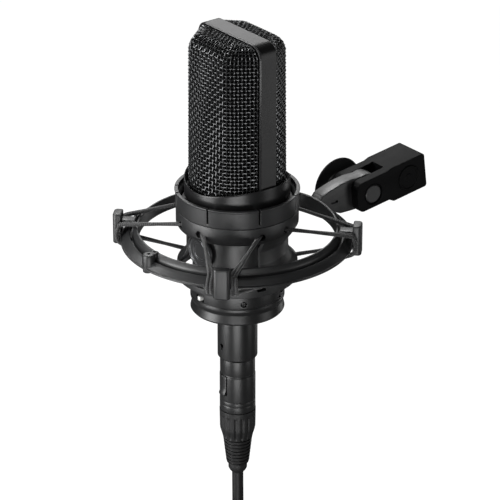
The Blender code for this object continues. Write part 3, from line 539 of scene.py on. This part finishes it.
def head_collar(material):
    """The collar: a rim round the foot of the wire, scooped at the front and back, and a tapered foot."""
    top, ledge, foot = COLLAR_TOP, HEAD_BASE - GAP, 0.0208
    bore, mouth, outer = 0.0232, 0.0264, 0.0276
    profile = [(bore, ledge), (bore, foot), (0.0250, foot), (0.0262, foot + 0.0010), (0.0274, foot + 0.0028),
               (outer, foot + 0.0038), (outer, top - 0.0006), (outer - 0.0003, top), (mouth, top - 0.0009),
               (mouth, ledge)]
    collar = lathe("collar", profile)
    for vertex in collar.data.vertices:
        x, y, height = vertex.co - UP
        if height > COLLAR_TOP - COLLAR_RIM:
            vertex.co.z -= COLLAR_SCOOP * abs(math.cos(math.atan2(x, y))) ** COLLAR_SHARPNESS
    return place_piece(collar, "microphone", material, "head_collar")


# ---------------------------------------------------------------- microphone body

BODY_RADIUS = 0.0235
BODY_BORE = 0.0231
BODY_TOP = 0.0205
BADGE_RADIUS = 0.0095
BADGE_HEIGHT = -0.0030
BASE_RADIUS = 0.0248
BASE_INNER = 0.0224
BASE_TOP = -0.0226
BASE_BOTTOM = -0.0418
BASE_FLOOR = 0.0030
SCREWS = (60, 180, 300)
SCREW_HEIGHT = -0.0294
SCREW_RADIUS = 0.00128
SCREW_HOLE = 0.0016
SWITCHES = (("pattern", 0, "white"), ("pad", 120, "grey"), ("rolloff", 240, "grey"))
SWITCH_HEIGHT = -0.0300
XLR_RADIUS = 0.0106
XLR_BORE = 0.0081
XLR_BOTTOM = -0.0706
CATCH_HEIGHT = -0.0620
CATCH_RADIUS = 0.0013


def body_pieces(looks):
    """The body tube and its plain round badge: a raised rim round a shallow dish with a small boss."""
    tube = box_outline((BODY_BORE, BASE_TOP + GAP), (BODY_RADIUS, BODY_TOP))
    place_piece(lathe("body_shell", tube, 144), "microphone", looks["paint"], "body_tube")
    radius, face = BADGE_RADIUS, 0.0015
    dish = face - 0.0007
    rim = [(radius, 0.0), (radius, face * 0.7), (radius - 0.0003, face), (radius - 0.0009, face)]
    boss = [(0.0057, dish), (0.0054, face - 0.0001), (0.0046, face - 0.0001), (0.0043, dish)]
    profile = [(0.0, 0.0)] + rim + [(radius - 0.0013, dish)] + boss + [(0.0, dish)]
    badge = lathe("badge_plate", profile, 72, fillet=0.0)
    badge.data.transform(Matrix.Translation(-UP))
    badge.data.transform(Matrix.Translation(UP + Vector((0, -BODY_RADIUS - GAP, BADGE_HEIGHT)))
                         @ Matrix.Rotation(math.pi / 2, 4, "X"))
    place_piece(badge, "microphone", looks["badge"], "front_badge")


def base_pieces(looks):
    """The base ring, with a slot for each switch and a hole for each screw."""
    outer, inner, floor = BASE_RADIUS, BASE_INNER, BASE_BOTTOM + BASE_FLOOR
    foot = [(outer - 0.0009, BASE_BOTTOM), (outer, BASE_BOTTOM + 0.0011), (outer - 0.0010, -0.0364)]
    line = [(outer, -0.0325), (outer - 0.0003, -0.0323), (outer - 0.0003, -0.0320), (outer, -0.0318)]
    profile = [(XLR_BORE, BASE_BOTTOM)] + foot + [(outer, -0.0341)] + line
    profile += [(outer, BASE_TOP), (inner, BASE_TOP), (inner, floor), (XLR_BORE, floor)]
    base = lathe("base_shell", profile, 144, fillet=0.00022)
    low, high = -0.028, -0.020
    cutters = []
    for _, azimuth, _ in SWITCHES:
        slot = rounded(centred_box(0.0032, 0.0016, SWITCH_HEIGHT), 0.0006)
        cutters.append(prism("cutter", slot, low, high, "y", turned(azimuth)))
    for azimuth in SCREWS:
        cutters.append(disc("cutter", SCREW_HOLE, low, high, "y", (0, SCREW_HEIGHT), 32, turned(azimuth)))
    carve(base, cutters)
    place_piece(base, "microphone", looks["paint"], "base_ring")
    for number, azimuth in enumerate(SCREWS, start=1):
        body_screw(number, azimuth, looks["steel"])
    for name, azimuth, look in SWITCHES:
        switch_cap(name, azimuth, looks[look])


def body_screw(number, azimuth, material):
    """A small cross-headed screw, set back in its hole."""
    place = turned(azimuth)
    screw = disc(f"base_screw_{number}", SCREW_RADIUS, -0.0243, -0.0226, "y", (0, SCREW_HEIGHT), 32, place)
    soften(screw, 0.0002, 3)
    length, width = 0.0009, 0.00018
    carve(screw, [prism("cutter", centred_box(half, half_height, SCREW_HEIGHT), -0.026, -0.0237, "y", place)
                  for half, half_height in ((length, width), (width, length))])
    place_piece(screw, "microphone", material, f"body_screw_{number}")


def switch_cap(name, azimuth, material):
    """The cap of a slide switch, with three grip grooves."""
    place = turned(azimuth, SWITCH_HEIGHT)
    cap = prism(f"{name}_slider_cap", centred_box(0.00093, 0.0011), -0.0253, -0.0228, "y", place)
    grooves = []
    for middle in (-0.00045, 0.0, 0.00045):
        outline = box_outline((middle - 0.0001, -0.002), (middle + 0.0001, 0.002))
        grooves.append(prism("cutter", outline, -0.026, -0.0251, "y", place))
    carve(cap, grooves)
    place_piece(cap, f"{name}_slider", material, f"{name}_switch")


def xlr_collar(looks):
    """The connector's collar, with the catch hole and the short slot below it."""
    top = BASE_BOTTOM - 0.0001
    profile = [(XLR_BORE, top), (XLR_BORE, XLR_BOTTOM), (XLR_RADIUS - 0.0010, XLR_BOTTOM),
               (XLR_RADIUS, XLR_BOTTOM + 0.0010), (XLR_RADIUS, top)]
    collar = lathe("connector_collar", profile, 96, fillet=0.0002)
    low, high = -0.012, -0.0070
    catch = disc("cutter", CATCH_RADIUS, low, high, "y", (0, CATCH_HEIGHT), 32)
    slot = box_outline((-0.0004, CATCH_HEIGHT - 0.0026), (0.0004, CATCH_HEIGHT))
    carve(collar, [catch, prism("cutter", slot, low, high, "y")])
    place_piece(collar, "microphone", looks["paint"], "xlr_collar")


# ---------------------------------------------------------------- shock mount

RING_INNER = 0.0514
RING_LIP = 0.0609
RING_TOP = 0.0045
RING_BOTTOM = -0.0030
REAR_RISE = 0.33
REAR_SPREAD = 24
POSTS = ((0.0572, 0.0034), (0.0534, 0.0024))
POST_TOP = 0.0049
POST_HOLE = 0.0009
LUG_RADIUS = 0.0025
LUG_Y = -0.0580
LUG_BOTTOM = -0.0050
ARM_HALF = 0.0041
KNUCKLE_RADIUS = 0.0095
PIN_HOLE = 0.0033
CLIPS = ((1, 45), (2, 135), (3, 225), (4, 315))
CLIP_FRONT = 0.0605
CLIP_OUTER = 0.0652
CLIP_HALF = 0.0043
CLIP_TOP = 0.0092
CLIP_BOTTOM = -0.0074
HOOK_END = 0.0536
CORD_RADIUS = 0.00095
CORD_SPREAD = 31
STRAND_GAP = 0.0018
STRAND_TURN = 1.4
SKIRT_RADIUS = 0.0320
WALL_RADIUS = 0.0266
LOWER_RADIUS = 0.0315
CRADLE_WALL = 0.0014
CRADLE_FLANGE = 0.0251
CRADLE_BOTTOM = -0.0227
WINDOWS = ((-30, 78), (150, 258))
HOLE_HEIGHT = 0.0110
HOLE_RADIUS = 0.0019
SLOT_HEIGHT = -0.0180
BAND_RADIUS = 0.0322
BAND_INNER = 0.0306
BAND_BOTTOM = 0.0168
BAND_TOP = 0.0267
FINGER_SLOTS = range(-25, 360 - 25, 49)


def ring_profile():
    """The ring's section: a tall inner rib, a narrow groove, a skirt that slopes outwards and a lip."""
    low, high = RING_BOTTOM, RING_TOP
    rib = [(RING_INNER, low), (RING_INNER, high - 0.0004), (0.0518, high), (0.0526, high)]
    groove = [(0.0539, 0.0029), (0.0543, 0.0022), (0.0544, -0.0008), (0.0558, -0.0008)]
    skirt = [(0.0561, 0.0013), (0.0575, 0.0004), (0.0596, -0.0015)]
    lip = [(0.0600, -0.0019), (RING_LIP, -0.0021), (RING_LIP, low)]
    return rib + groove + skirt + lip


def raise_rear(obj):
    """The ring's upper side swells where the arm leaves it."""
    for vertex in obj.data.vertices:
        x, y, height = vertex.co - UP
        if height > 0:
            away = math.degrees(math.atan2(x, y))
            vertex.co.z += height * REAR_RISE * math.exp(-(away / REAR_SPREAD) ** 2)


def arm_outline():
    """The arm's side view, from its root inside the ring up to the round knuckle."""
    knuckle = (PIVOT.y, PIVOT.z - RING_HEIGHT)
    root, low, end = 0.0522, RING_BOTTOM + 0.0002, PIVOT.y - 0.0105
    under = [(root, low), (0.0600, low), (0.0665, -0.0056), (end, -0.0059)]
    over = [(end, 0.0122), (0.0665, 0.0113), (0.0590, 0.0094), (0.0540, 0.0076), (root, 0.0052)]
    return under + arc(knuckle, KNUCKLE_RADIUS, -110, 110, 32) + over


def ring_piece(looks):
    """The ring with its two front posts and the arm that rises from its back to the knuckle."""
    ring = lathe("mount_ring", ring_profile(), 180, fillet=0.00035)
    raise_rear(ring)
    added = [soften(disc("post", half, RING_BOTTOM + 0.0002, POST_TOP, "z", (0, -radius)), 0.0012, 4)
             for radius, half in POSTS]
    lug = disc("lug", LUG_RADIUS, LUG_BOTTOM, RING_BOTTOM + 0.0006, "z", (0, LUG_Y))
    arm = prism("arm", arm_outline(), -ARM_HALF, ARM_HALF, "x")
    added += [soften(lug, 0.0005, 3), soften(arm, 0.0006, 3)]
    carve(ring, added, "UNION")
    holes = [disc("cutter", POST_HOLE, POST_TOP - 0.003, POST_TOP + 0.002, "z", (0, -radius), 20)
             for radius, _ in POSTS]
    holes.append(disc("cutter", PIN_HOLE, -0.01, 0.01, "x", (PIVOT.y, PIVOT.z - RING_HEIGHT), 48))
    recess = rounded(box_outline((0.0596, 0.0014), (0.0645, 0.0028)), 0.0006)
    holes += [prism("cutter", recess, *span, "x") for span in ((-0.0060, -0.0030), (0.0030, 0.0060))]
    carve(ring, holes)
    place_piece(ring, "ring", looks["plastic"], "outer_ring")


def clip_pieces(looks):
    """The clips: a thick bevelled plate outside the ring, and a hook over it that ends in a cross peg."""
    half, bevel, narrow = CLIP_HALF, 0.0012, CLIP_HALF - 0.0014
    outline = [(-half, -CLIP_FRONT), (-half, -CLIP_OUTER + bevel), (-half + bevel, -CLIP_OUTER),
               (half - bevel, -CLIP_OUTER), (half, -CLIP_OUTER + bevel), (half, -CLIP_FRONT)]
    bridge = box_outline((-narrow, -CLIP_FRONT - 0.001), (narrow, -HOOK_END))
    bar = box_outline((-half - 0.0016, 0.0034), (half + 0.0016, 0.0054))
    for number, azimuth in CLIPS:
        place = turned(azimuth)
        clip = soften(prism(f"cord_clip_{number}", outline, CLIP_BOTTOM, CLIP_TOP, "z", place), 0.0009, 4)
        hook = soften(prism("hook", bridge, 0.0030, 0.0058, "z", place), 0.0005, 2)
        peg = soften(prism("peg", bar, -HOOK_END - 0.0016, -HOOK_END, "y", place), 0.0005, 2)
        carve(clip, [hook, peg], "UNION")
        place_piece(clip, "ring", looks["plastic"], f"clip_{number}")


def spline(points, per_span):
    """A smooth line through points, as a Catmull-Rom curve."""
    ends = [2 * points[0] - points[1]] + list(points) + [2 * points[-1] - points[-2]]
    line = []
    for i in range(1, len(ends) - 2):
        a, b, c, d = (np.array(ends[i + k]) for k in (-1, 0, 1, 2))
        for t in np.linspace(0, 1, per_span, endpoint=False):
            line.append(0.5 * (2 * b + (c - a) * t + (2 * a - 5 * b + 4 * c - d) * t ** 2
                               + (3 * b - a - 3 * c + d) * t ** 3))
    line.append(np.array(ends[-2]))
    return np.array(line)


def strand_line(azimuth, side, strand):
    """One strand beside a clip, from an upper hole of the cradle round the ring to a lower slot."""
    outward, along = at_azimuth(1, azimuth), at_azimuth(1, azimuth + 90)
    apart = STRAND_GAP * strand
    hole = azimuth + side * (CORD_SPREAD + STRAND_TURN - 2 * STRAND_TURN * strand)

    def beside(radius, offset, height):
        return outward * radius + along * side * (offset + apart) + Vector((0, 0, height))

    upper = at_azimuth(SKIRT_RADIUS - 0.0030, hole, HOLE_HEIGHT)
    lower = at_azimuth(LOWER_RADIUS - 0.0022, hole, SLOT_HEIGHT)
    first, last = beside(0.0598, 0.0050, 0.0047), beside(0.0568, 0.0056, -0.0070)
    bend = [beside(0.0618, 0.0053, 0.0024), beside(0.0626, 0.0056, -0.0012), beside(0.0612, 0.0056, -0.0050)]
    points = [upper, upper.lerp(first, 0.35), upper.lerp(first, 0.7), first] + bend
    points += [last, last.lerp(lower, 0.33), last.lerp(lower, 0.67), lower]
    line = spline([point + UP for point in points], 7)
    return line, np.tile(np.array(along), (len(line), 1))


def cord_pieces(looks):
    """The elastic cords: two strands on each side of a clip, which bend between the ring and the cradle."""
    for number, azimuth in CLIPS:
        lines = [strand_line(azimuth, side, strand) for side in (-1, 1) for strand in (0, 1)]
        cord = tubes(f"cord_loop_{number}", lines, CORD_RADIUS, 10)
        place_piece(cord, None, looks["cord"], f"elastic_cord_{number}")
        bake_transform(cord)


def cradle_profile():
    """The cradle's section, down its outside and back up its inside to the flange."""
    top, waist = BAND_BOTTOM - GAP, WALL_RADIUS - 0.0025
    skirt_inner, lower_inner = SKIRT_RADIUS - CRADLE_WALL, LOWER_RADIUS - CRADLE_WALL
    outside = [(SKIRT_RADIUS, top), (SKIRT_RADIUS, 0.0085), (0.0300, 0.0050), (WALL_RADIUS, 0.0006),
               (WALL_RADIUS, -0.0070), (0.0284, -0.0110), (LOWER_RADIUS, -0.0140),
               (LOWER_RADIUS, CRADLE_BOTTOM)]
    inside = [(lower_inner, CRADLE_BOTTOM), (lower_inner, -0.0146), (0.0262, -0.0114), (waist, -0.0076),
              (waist, 0.0010), (0.0278, 0.0056), (skirt_inner, 0.0092), (skirt_inner, 0.0130),
              (CRADLE_FLANGE, 0.0148), (CRADLE_FLANGE, top)]
    return outside + inside


def cradle_piece(looks):
    """The inner cradle: a skirt, two waisted walls and a lower ring, with openings for the cords."""
    cradle = lathe("inner_cradle", cradle_profile(), 144, fillet=0.0004)
    window = box_outline((0.0205, -0.0140), (0.0380, 0.0072))
    cutters = [lathe("cutter", window, 48, 0.0, start, end - start) for start, end in WINDOWS]
    slot = rounded(centred_box(0.0027, 0.0016, SLOT_HEIGHT), 0.0008)
    low, high = -0.036, -0.0285
    for _, azimuth in CLIPS:
        for side in (-1, 1):
            place = turned(azimuth + side * CORD_SPREAD)
            cutters.append(disc("cutter", HOLE_RADIUS, low, high, "y", (0, HOLE_HEIGHT), 28, place))
            cutters.append(prism("cutter", slot, low, high, "y", place))
    carve(cradle, cutters)
    soften(cradle, 0.00025, 2)
    place_piece(cradle, "microphone", looks["plastic"], "cradle_body")


def band_piece(looks):
    """The band of spring fingers round the head's collar."""
    outer, inner, lip = BAND_RADIUS, BAND_INNER, BAND_TOP - 0.0007
    profile = [(inner - 0.0012, BAND_BOTTOM), (outer, BAND_BOTTOM), (outer, lip - 0.0003),
               (outer + 0.0004, lip), (outer + 0.0004, BAND_TOP), (inner, BAND_TOP),
               (inner, BAND_TOP - 0.0026), (inner - 0.0012, BAND_TOP - 0.0036)]
    band = lathe("finger_band", profile, 144)
    outline = box_outline((-0.00055, BAND_BOTTOM + 0.0016), (0.00055, BAND_TOP + 0.001))
    carve(band, [prism("cutter", outline, -0.035, -0.028, "y", turned(azimuth)) for azimuth in FINGER_SLOTS])
    soften(band, 0.0002, 2)
    place_piece(band, "microphone", looks["plastic"], "collet_band")


# ---------------------------------------------------------------- swivel stand adapter

BLOCK_HALF = 0.0100
BLOCK_TOP = 0.0092
BLOCK_BOTTOM = -0.0080
BLOCK_FRONT = -0.0106
BLOCK_LENGTH = 0.0368
SOCKET_HALF = 0.0100
FORK_CORNER = 0.0040
FORK_HALF = 0.0045
FORK_DEPTH = 0.0122
ADAPTER_BADGE_Y = 0.0245
ADAPTER_BADGE_RADIUS = 0.0069
PIN_RADIUS = 0.0030
BOLT_HEAD_RADIUS = 0.0050
KNOB_INNER = 0.0108
KNOB_FACE = 0.0162
KNOB_OUTER = 0.0192
KNOB_RADIUS = 0.0157

PIVOT_FRAME = Matrix.Translation(PIVOT)
BLOCK_FRAME = PIVOT_FRAME @ Matrix.Rotation(ADAPTER_TILT, 4, "X")
ALONG_X = Matrix.Rotation(math.pi / 2, 4, "Y")


def place_turned(name, profile, matrix, body, material, *nodes):
    """A turned piece whose axis lies along a placement's Z."""
    obj = lathe(name, profile, 64, fillet=0.0)
    obj.data.transform(matrix @ Matrix.Translation(-UP))
    smooth(obj)
    return place_piece(obj, body, material, *nodes)


def block_outline():
    """The block's side view: a fork with round corners that steps out to the square socket."""
    corner, neck, shoulder = FORK_CORNER, 0.0105, 0.0135
    half, end, chamfer = SOCKET_HALF, BLOCK_LENGTH, 0.0010
    fork = arc((BLOCK_FRONT + corner, BLOCK_BOTTOM + corner), corner, 270, 180, 12)
    fork += arc((BLOCK_FRONT + corner, BLOCK_TOP - corner), corner, 180, 90, 12)
    upper = [(neck, BLOCK_TOP), (shoulder, half), (end - chamfer, half), (end, half - chamfer)]
    lower = [(end, chamfer - half), (end - chamfer, -half), (shoulder, -half), (neck, BLOCK_BOTTOM)]
    return fork + upper + lower


def adapter_block(looks):
    """The forked block: its slot, the bolt's hole and seat, the thread insert's bore and the badge's recess."""
    half, end = BLOCK_HALF, BLOCK_LENGTH
    block = soften(prism("adapter_block", block_outline(), -half, half, "x", BLOCK_FRAME), 0.0019, 5)
    slot = box_outline((BLOCK_FRONT - 0.002, -0.02), (FORK_DEPTH, 0.02))
    badge = (ADAPTER_BADGE_Y, 0)
    cutters = [prism("cutter", slot, -FORK_HALF, FORK_HALF, "x", BLOCK_FRAME),
               disc("cutter", PIN_HOLE, -0.012, 0.012, "x", (0, 0), 48, BLOCK_FRAME),
               disc("cutter", 0.0062, half - 0.0012, half + 0.002, "x", (0, 0), 48, BLOCK_FRAME),
               disc("cutter", 0.0082, end - 0.0150, end + 0.002, "y", (0, 0), 64, BLOCK_FRAME),
               disc("cutter", 0.0072, half - 0.0006, half + 0.002, "x", badge, 64, BLOCK_FRAME)]
    carve(block, cutters)
    soften(block, 0.0004, 2)
    place_piece(block, "stand", looks["shaded_dark_plastic"], "stand_adapter")


def adapter_badge(looks):
    """The block's plain round badge: a rim round a flat dish with a small boss."""
    radius, dish = ADAPTER_BADGE_RADIUS, 0.0003
    rim = [(radius, 0.0006), (radius - 0.0002, 0.0010), (radius - 0.0007, 0.0010), (radius - 0.0011, dish)]
    profile = [(0, 0), (radius, 0)] + rim + [(0.0024, dish), (0.0020, 0.0008), (0, 0.0008)]
    place = BLOCK_FRAME @ Matrix.Translation((BLOCK_HALF - 0.0004, ADAPTER_BADGE_Y, 0)) @ ALONG_X
    place_turned("adapter_disc", profile, place, "stand", looks["shaded_dark_plastic"], "adapter_badge")


def pivot_bolt(looks):
    """The bolt through the fork and the knuckle, its head sunk in the block."""
    pin, head, half = PIN_RADIUS, BOLT_HEAD_RADIUS, BLOCK_HALF
    profile = [(0, -0.0104), (pin, -0.0104), (pin, half - 0.0009), (head, half - 0.0009),
               (head, half - 0.0004), (head - 0.0004, half), (0, half)]
    place_turned("pivot_screw", profile, PIVOT_FRAME @ ALONG_X, "stand", looks["plastic"], "pivot_bolt")


def clamp_knob(looks):
    """The round paddle knob: a flat disc on a short hub, with narrow soft rims and a dished outer face."""
    face, outer, radius, hub = KNOB_FACE, KNOB_OUTER, KNOB_RADIUS, 0.0075
    neck = [(0, KNOB_INNER), (hub, KNOB_INNER), (hub, face - 0.0004), (hub + 0.0004, face)]
    rim = [(radius - 0.0005, face), (radius, face + 0.0004), (radius - 0.0028, outer - 0.0004),
           (radius - 0.0036, outer), (radius - 0.0048, outer)]
    dish = [(radius - 0.0062, outer - 0.0008), (0, outer - 0.0008)]
    place = Matrix.Translation(PIVOT + Vector((0, -0.0032, -0.0032))) @ Matrix.Rotation(-math.pi / 2, 4, "Y")
    place_turned("knob_paddle", neck + rim + dish, place, "knob", looks["plastic"], "clamp_knob")


# ---------------------------------------------------------------- cable plug

PLUG_RADIUS = 0.00955
PLUG_NOSE = 0.0078
PLUG_BORE = 0.0066
PLUG_TOP = -0.0570
SHELL_BOTTOM = -0.1014
LATCH_GROOVE = -0.0798
FINE_LINES = (-0.0977, -0.0953)
LATCH_BACK = -0.0074
LATCH_HALF = 0.0024
BOOT_TOP = -0.1017
BOOT_BOTTOM = -0.1400
BOOT_BORE = 0.0034
CHUCK_ROOM = 0.0063
CHUCK_FLOOR = -0.1144
FLUTES = 16
FLUTE_DEPTH = 0.0007
FLUTE_SPAN = (-0.1180, -0.1048)
RIBS = 7
RIB_TOP = -0.1192
RIB_PITCH = 0.0021
RIB_DEPTH = 0.0009
CABLE_RADIUS = 0.00305
CABLE_TOP = -0.0987
CABLE_SWAY = 0.00004


def shell_piece(looks):
    """The plug's metal shell with its turned grooves and the slot that the latch tab sits in."""
    outer, shoulder, groove, fine = PLUG_RADIUS, XLR_BOTTOM - 0.0002, LATCH_GROOVE, 0.0003
    profile = [(PLUG_BORE, PLUG_TOP), (PLUG_BORE, SHELL_BOTTOM), (outer, SHELL_BOTTOM)]
    for height in FINE_LINES:
        profile += [(outer, height - fine), (outer - fine, height), (outer, height + fine)]
    floor, upper = outer - 0.0007, outer - 0.0002
    profile += [(outer, groove - 0.0009), (floor, groove - 0.0001), (floor, groove + 0.0002),
                (upper, groove + 0.0004), (upper, shoulder), (PLUG_NOSE, shoulder), (PLUG_NOSE, PLUG_TOP)]
    shell = lathe("connector_shell", profile, 96, fillet=0.0002)
    carve(shell, [prism("cutter", box_outline((-0.0027, -0.012), (0.0027, -0.004)), -0.0915, -0.0802, "z")])
    place_piece(shell, "plug", looks["paint"], "plug_shell")


def latch_piece(looks):
    """The latch tab: a flat lever with a thumb ridge at its lower end."""
    outline = [(LATCH_BACK, -0.0912), (-0.0108, -0.0912), (-0.0108, -0.0898), (-0.0100, -0.0884),
               (-0.0098, -0.0870), (-0.0098, -0.0812), (-0.0093, -0.0805), (LATCH_BACK, -0.0805)]
    tab = soften(prism("latch_lever", outline, -LATCH_HALF, LATCH_HALF, "x"), 0.0003, 2)
    place_piece(tab, "latch", looks["paint"], "latch_tab")


def boot_radius(height):
    """The boot's outer radius at a height, between the grooves."""
    heights = [BOOT_BOTTOM, -0.1392, -0.1378, -0.1346, -0.1341, RIB_TOP, -0.1160, -0.1130, SHELL_BOTTOM]
    radii = [0.0036, 0.0043, 0.0050, 0.0051, 0.0061, 0.0078, 0.0086, 0.0095, 0.0097]
    return float(np.interp(height, heights, radii))


def boot_heights():
    """The heights of the boot's rings: close together over the ribs and round the tail."""
    sleeve = [BOOT_TOP, -0.1022, -0.1045, -0.1050] + list(np.linspace(-0.1060, -0.1176, 12)) + [-0.1186]
    ribs = [RIB_TOP - RIB_PITCH * (rib + part)
            for rib in range(RIBS) for part in (0.0, 0.12, 0.2, 0.6, 0.7, 0.85)]
    tail = [RIB_TOP - RIB_PITCH * RIBS, -0.1342, -0.1347, -0.1360, -0.1378, -0.1386, -0.1392, -0.1397]
    return sleeve + ribs + tail + [BOOT_BOTTOM]


def boot_section(height, degrees):
    """The boot's outer radius, with the ring grooves of its neck and the flutes of its sleeve."""
    along_neck = (RIB_TOP - height) / RIB_PITCH
    in_groove = 0 <= along_neck < RIBS and not 0.15 < along_neck % 1 < 0.65
    radius = boot_radius(height) - (RIB_DEPTH if in_groove else 0.0)
    if FLUTE_SPAN[0] < height < FLUTE_SPAN[1]:
        radius -= FLUTE_DEPTH * max(0.0, math.cos(math.radians(degrees * FLUTES)))
    return radius


def boot_piece(looks):
    """The rubber boot: flutes round its upper sleeve, ring ribs on its neck and a round tail."""
    segments = 144
    around = [360 * step / segments for step in range(segments)]
    work = bmesh.new()
    rings = []
    for height in boot_heights():
        rings.append([work.verts.new(at_azimuth(boot_section(height, degrees), degrees, height) + UP)
                      for degrees in around])
    bore = [(BOOT_BORE, BOOT_BOTTOM), (BOOT_BORE, CHUCK_FLOOR)]
    room = [(CHUCK_ROOM, CHUCK_FLOOR), (CHUCK_ROOM, BOOT_TOP)]
    for radius, height in bore + room:
        rings.append([work.verts.new(at_azimuth(radius, degrees, height) + UP) for degrees in around])
    for i, ring in enumerate(rings):
        after = rings[(i + 1) % len(rings)]
        for k in range(segments):
            m = (k + 1) % segments
            work.faces.new([ring[k], ring[m], after[m], after[k]])
    place_piece(mesh_object("strain_relief", work), "plug", looks["rubber"], "plug_boot")


def cable_piece(looks):
    """The cable stub, with the very slight unevenness of a real jacket."""
    line = []
    for part in np.linspace(0, 1, 61):
        sway = CABLE_SWAY * math.sin(9 * part), CABLE_SWAY * math.sin(7 * part + 1)
        line.append(Vector((*sway, CABLE_TOP * part - RING_HEIGHT * (1 - part))) + UP)
    points = np.array(line)
    normals = np.tile(np.array([0.0, 1.0, 0.0]), (len(points), 1))
    cable = tubes("cable_stub", [(points, normals)], CABLE_RADIUS, 36)
    place_piece(cable, "plug", looks["cable"], "cable")


# ---------------------------------------------------------------- inner pieces and the stage

INNER_LOOKS = {
    "steel": ("capsule_body", "clamp_ring_front", "clamp_ring_rear"),
    "gold": ("diaphragm_front", "diaphragm_rear", "xlr_pin_1", "xlr_pin_2", "xlr_pin_3"),
    "plastic": ("capsule_saddle", "xlr_insert", "plug_insert", "cable_chuck"),
    "rubber": ("capsule_isolator", "cradle_liner"),
    "zinc": ("chassis_frame",),
    "board": ("circuit_board",),
    "brass": ("thread_insert",),
    "nylon": ("washer_left", "washer_right"),
}


def dress_inner_pieces(looks):
    """The CAD pieces that stay as they are, each with its look."""
    for look, names in INNER_LOOKS.items():
        for name in names:
            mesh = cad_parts[name].data
            mesh.materials.clear()
            mesh.materials.append(looks[look])


# Each light's name, azimuth, distance, height, (width, length) and power in watts
SOFTBOXES = (
    ("key", -13, 0.95, 0.10, (0.50, 1.0), 18),
    ("edge", -59, 1.0, 0.78, (0.20, 0.20), 5),
    ("side", 124, 1.0, 0.0, (0.40, 0.9), 2.2),
    ("low_front", 50, 1.0, -0.36, (0.6, 0.28), 5.5),
    ("back_right", 185, 1.0, -0.15, (0.25, 0.9), 1.0),
    ("top", 232, 1.0, 0.45, (0.9, 0.35), 2.6),
    ("rim", 240, 0.8, 1.0, (0.22, 0.22), 8),
    ("fill", 50, 0.9, 0.95, (0.4, 0.4), 3.5),
)


def softbox(name, azimuth, distance, height, size, power):
    """A tall or wide soft panel that faces the microphone; it never shows itself to the camera."""
    light = bpy.data.lights.new(name, "AREA")
    light.shape = "RECTANGLE"
    light.size, light.size_y = size
    light.energy = power
    obj = bpy.data.objects.new(name, light)
    place = at_azimuth(distance, azimuth, height) + UP
    obj.location = place
    obj.rotation_euler = (UP - place).to_track_quat("-Z", "Y").to_euler()
    obj.visible_camera = False
    bpy.context.scene.collection.objects.link(obj)


VIEW_AZIMUTH = math.radians(52)
VIEW_ELEVATION = math.radians(25)
VIEW_DISTANCE = 1.70
AIM_RIGHT = 0.0066
AIM_DOWN = 0.0085
FLOOR_HEIGHT = -0.35


def view_direction(azimuth, elevation):
    """The way from the microphone towards a viewpoint."""
    return Vector((math.sin(azimuth) * math.cos(elevation), -math.cos(azimuth) * math.cos(elevation),
                   math.sin(elevation)))


def make_camera():
    """The camera looks down on the front-right of the microphone, aimed a little beside the ring's centre."""
    back = view_direction(VIEW_AZIMUTH, VIEW_ELEVATION)
    right = Vector((math.cos(VIEW_AZIMUTH), math.sin(VIEW_AZIMUTH), 0))
    above = back.cross(right)
    aim = UP + right * AIM_RIGHT - above * AIM_DOWN
    camera = bpy.data.objects.new("camera", bpy.data.cameras.new("camera"))
    camera.location = aim + back * VIEW_DISTANCE
    camera.rotation_euler = (-back).to_track_quat("-Z", "Y").to_euler()
    camera.data.lens = 235
    camera.data.sensor_width = 36
    camera.data.clip_start, camera.data.clip_end = 0.05, 20
    bpy.context.scene.collection.objects.link(camera)
    bpy.context.scene.camera = camera


def seen_as(tree, white, dim):
    """A strength that is white where the camera looks straight at it and dim wherever it lights something."""
    path = node(tree, "ShaderNodeLightPath")
    strength = node(tree, "ShaderNodeMapRange", To_Min=dim, To_Max=white)
    tree.links.new(path.outputs["Is Camera Ray"], strength.inputs["Value"])
    return strength.outputs["Result"]


def make_stage():
    """A plain pale floor well below the microphone, a white surround and eight soft panels of light."""
    work = bmesh.new()
    bmesh.ops.create_grid(work, x_segments=1, y_segments=1, size=6.0)
    floor = mesh_object("floor", work)
    floor.location = (0, 0, FLOOR_HEIGHT)
    material = bpy.data.materials.new("floor")
    material.use_nodes = True
    tree = material.node_tree
    shader = tree.nodes["Principled BSDF"]
    shader.inputs["Base Color"].default_value = (0.08, 0.08, 0.08, 1)
    shader.inputs["Roughness"].default_value = 0.9
    shader.inputs["Emission Color"].default_value = (1, 1, 1, 1)
    tree.links.new(seen_as(tree, 1.0, 0.0), shader.inputs["Emission Strength"])
    floor.data.materials.append(material)
    world = bpy.data.worlds.new("studio")
    world.use_nodes = True
    background = world.node_tree.nodes["Background"]
    background.inputs["Color"].default_value = (1, 1, 1, 1)
    world.node_tree.links.new(seen_as(world.node_tree, 1.0, 0.02), background.inputs["Strength"])
    bpy.context.scene.world = world
    bpy.context.scene.view_settings.view_transform = "Standard"
    for light in SOFTBOXES:
        softbox(*light)


# ---------------------------------------------------------------- the whole microphone


def build():
    """The whole microphone, from the head down, then its surroundings."""
    looks = make_looks()
    for side_name, facing in (("front", -1), ("rear", 1)):
        grille(f"grille_{side_name}", facing, looks["wire"])
        screen(f"screen_{side_name}", facing, looks["screen"])
    head_strap(looks["strap"])
    head_collar(looks["strap"])
    body_pieces(looks)
    base_pieces(looks)
    xlr_collar(looks)
    ring_piece(looks)
    clip_pieces(looks)
    cord_pieces(looks)
    cradle_piece(looks)
    band_piece(looks)
    adapter_block(looks)
    adapter_badge(looks)
    pivot_bolt(looks)
    clamp_knob(looks)
    shell_piece(looks)
    latch_piece(looks)
    boot_piece(looks)
    cable_piece(looks)
    dress_inner_pieces(looks)
    make_stage()
    make_camera()


build()
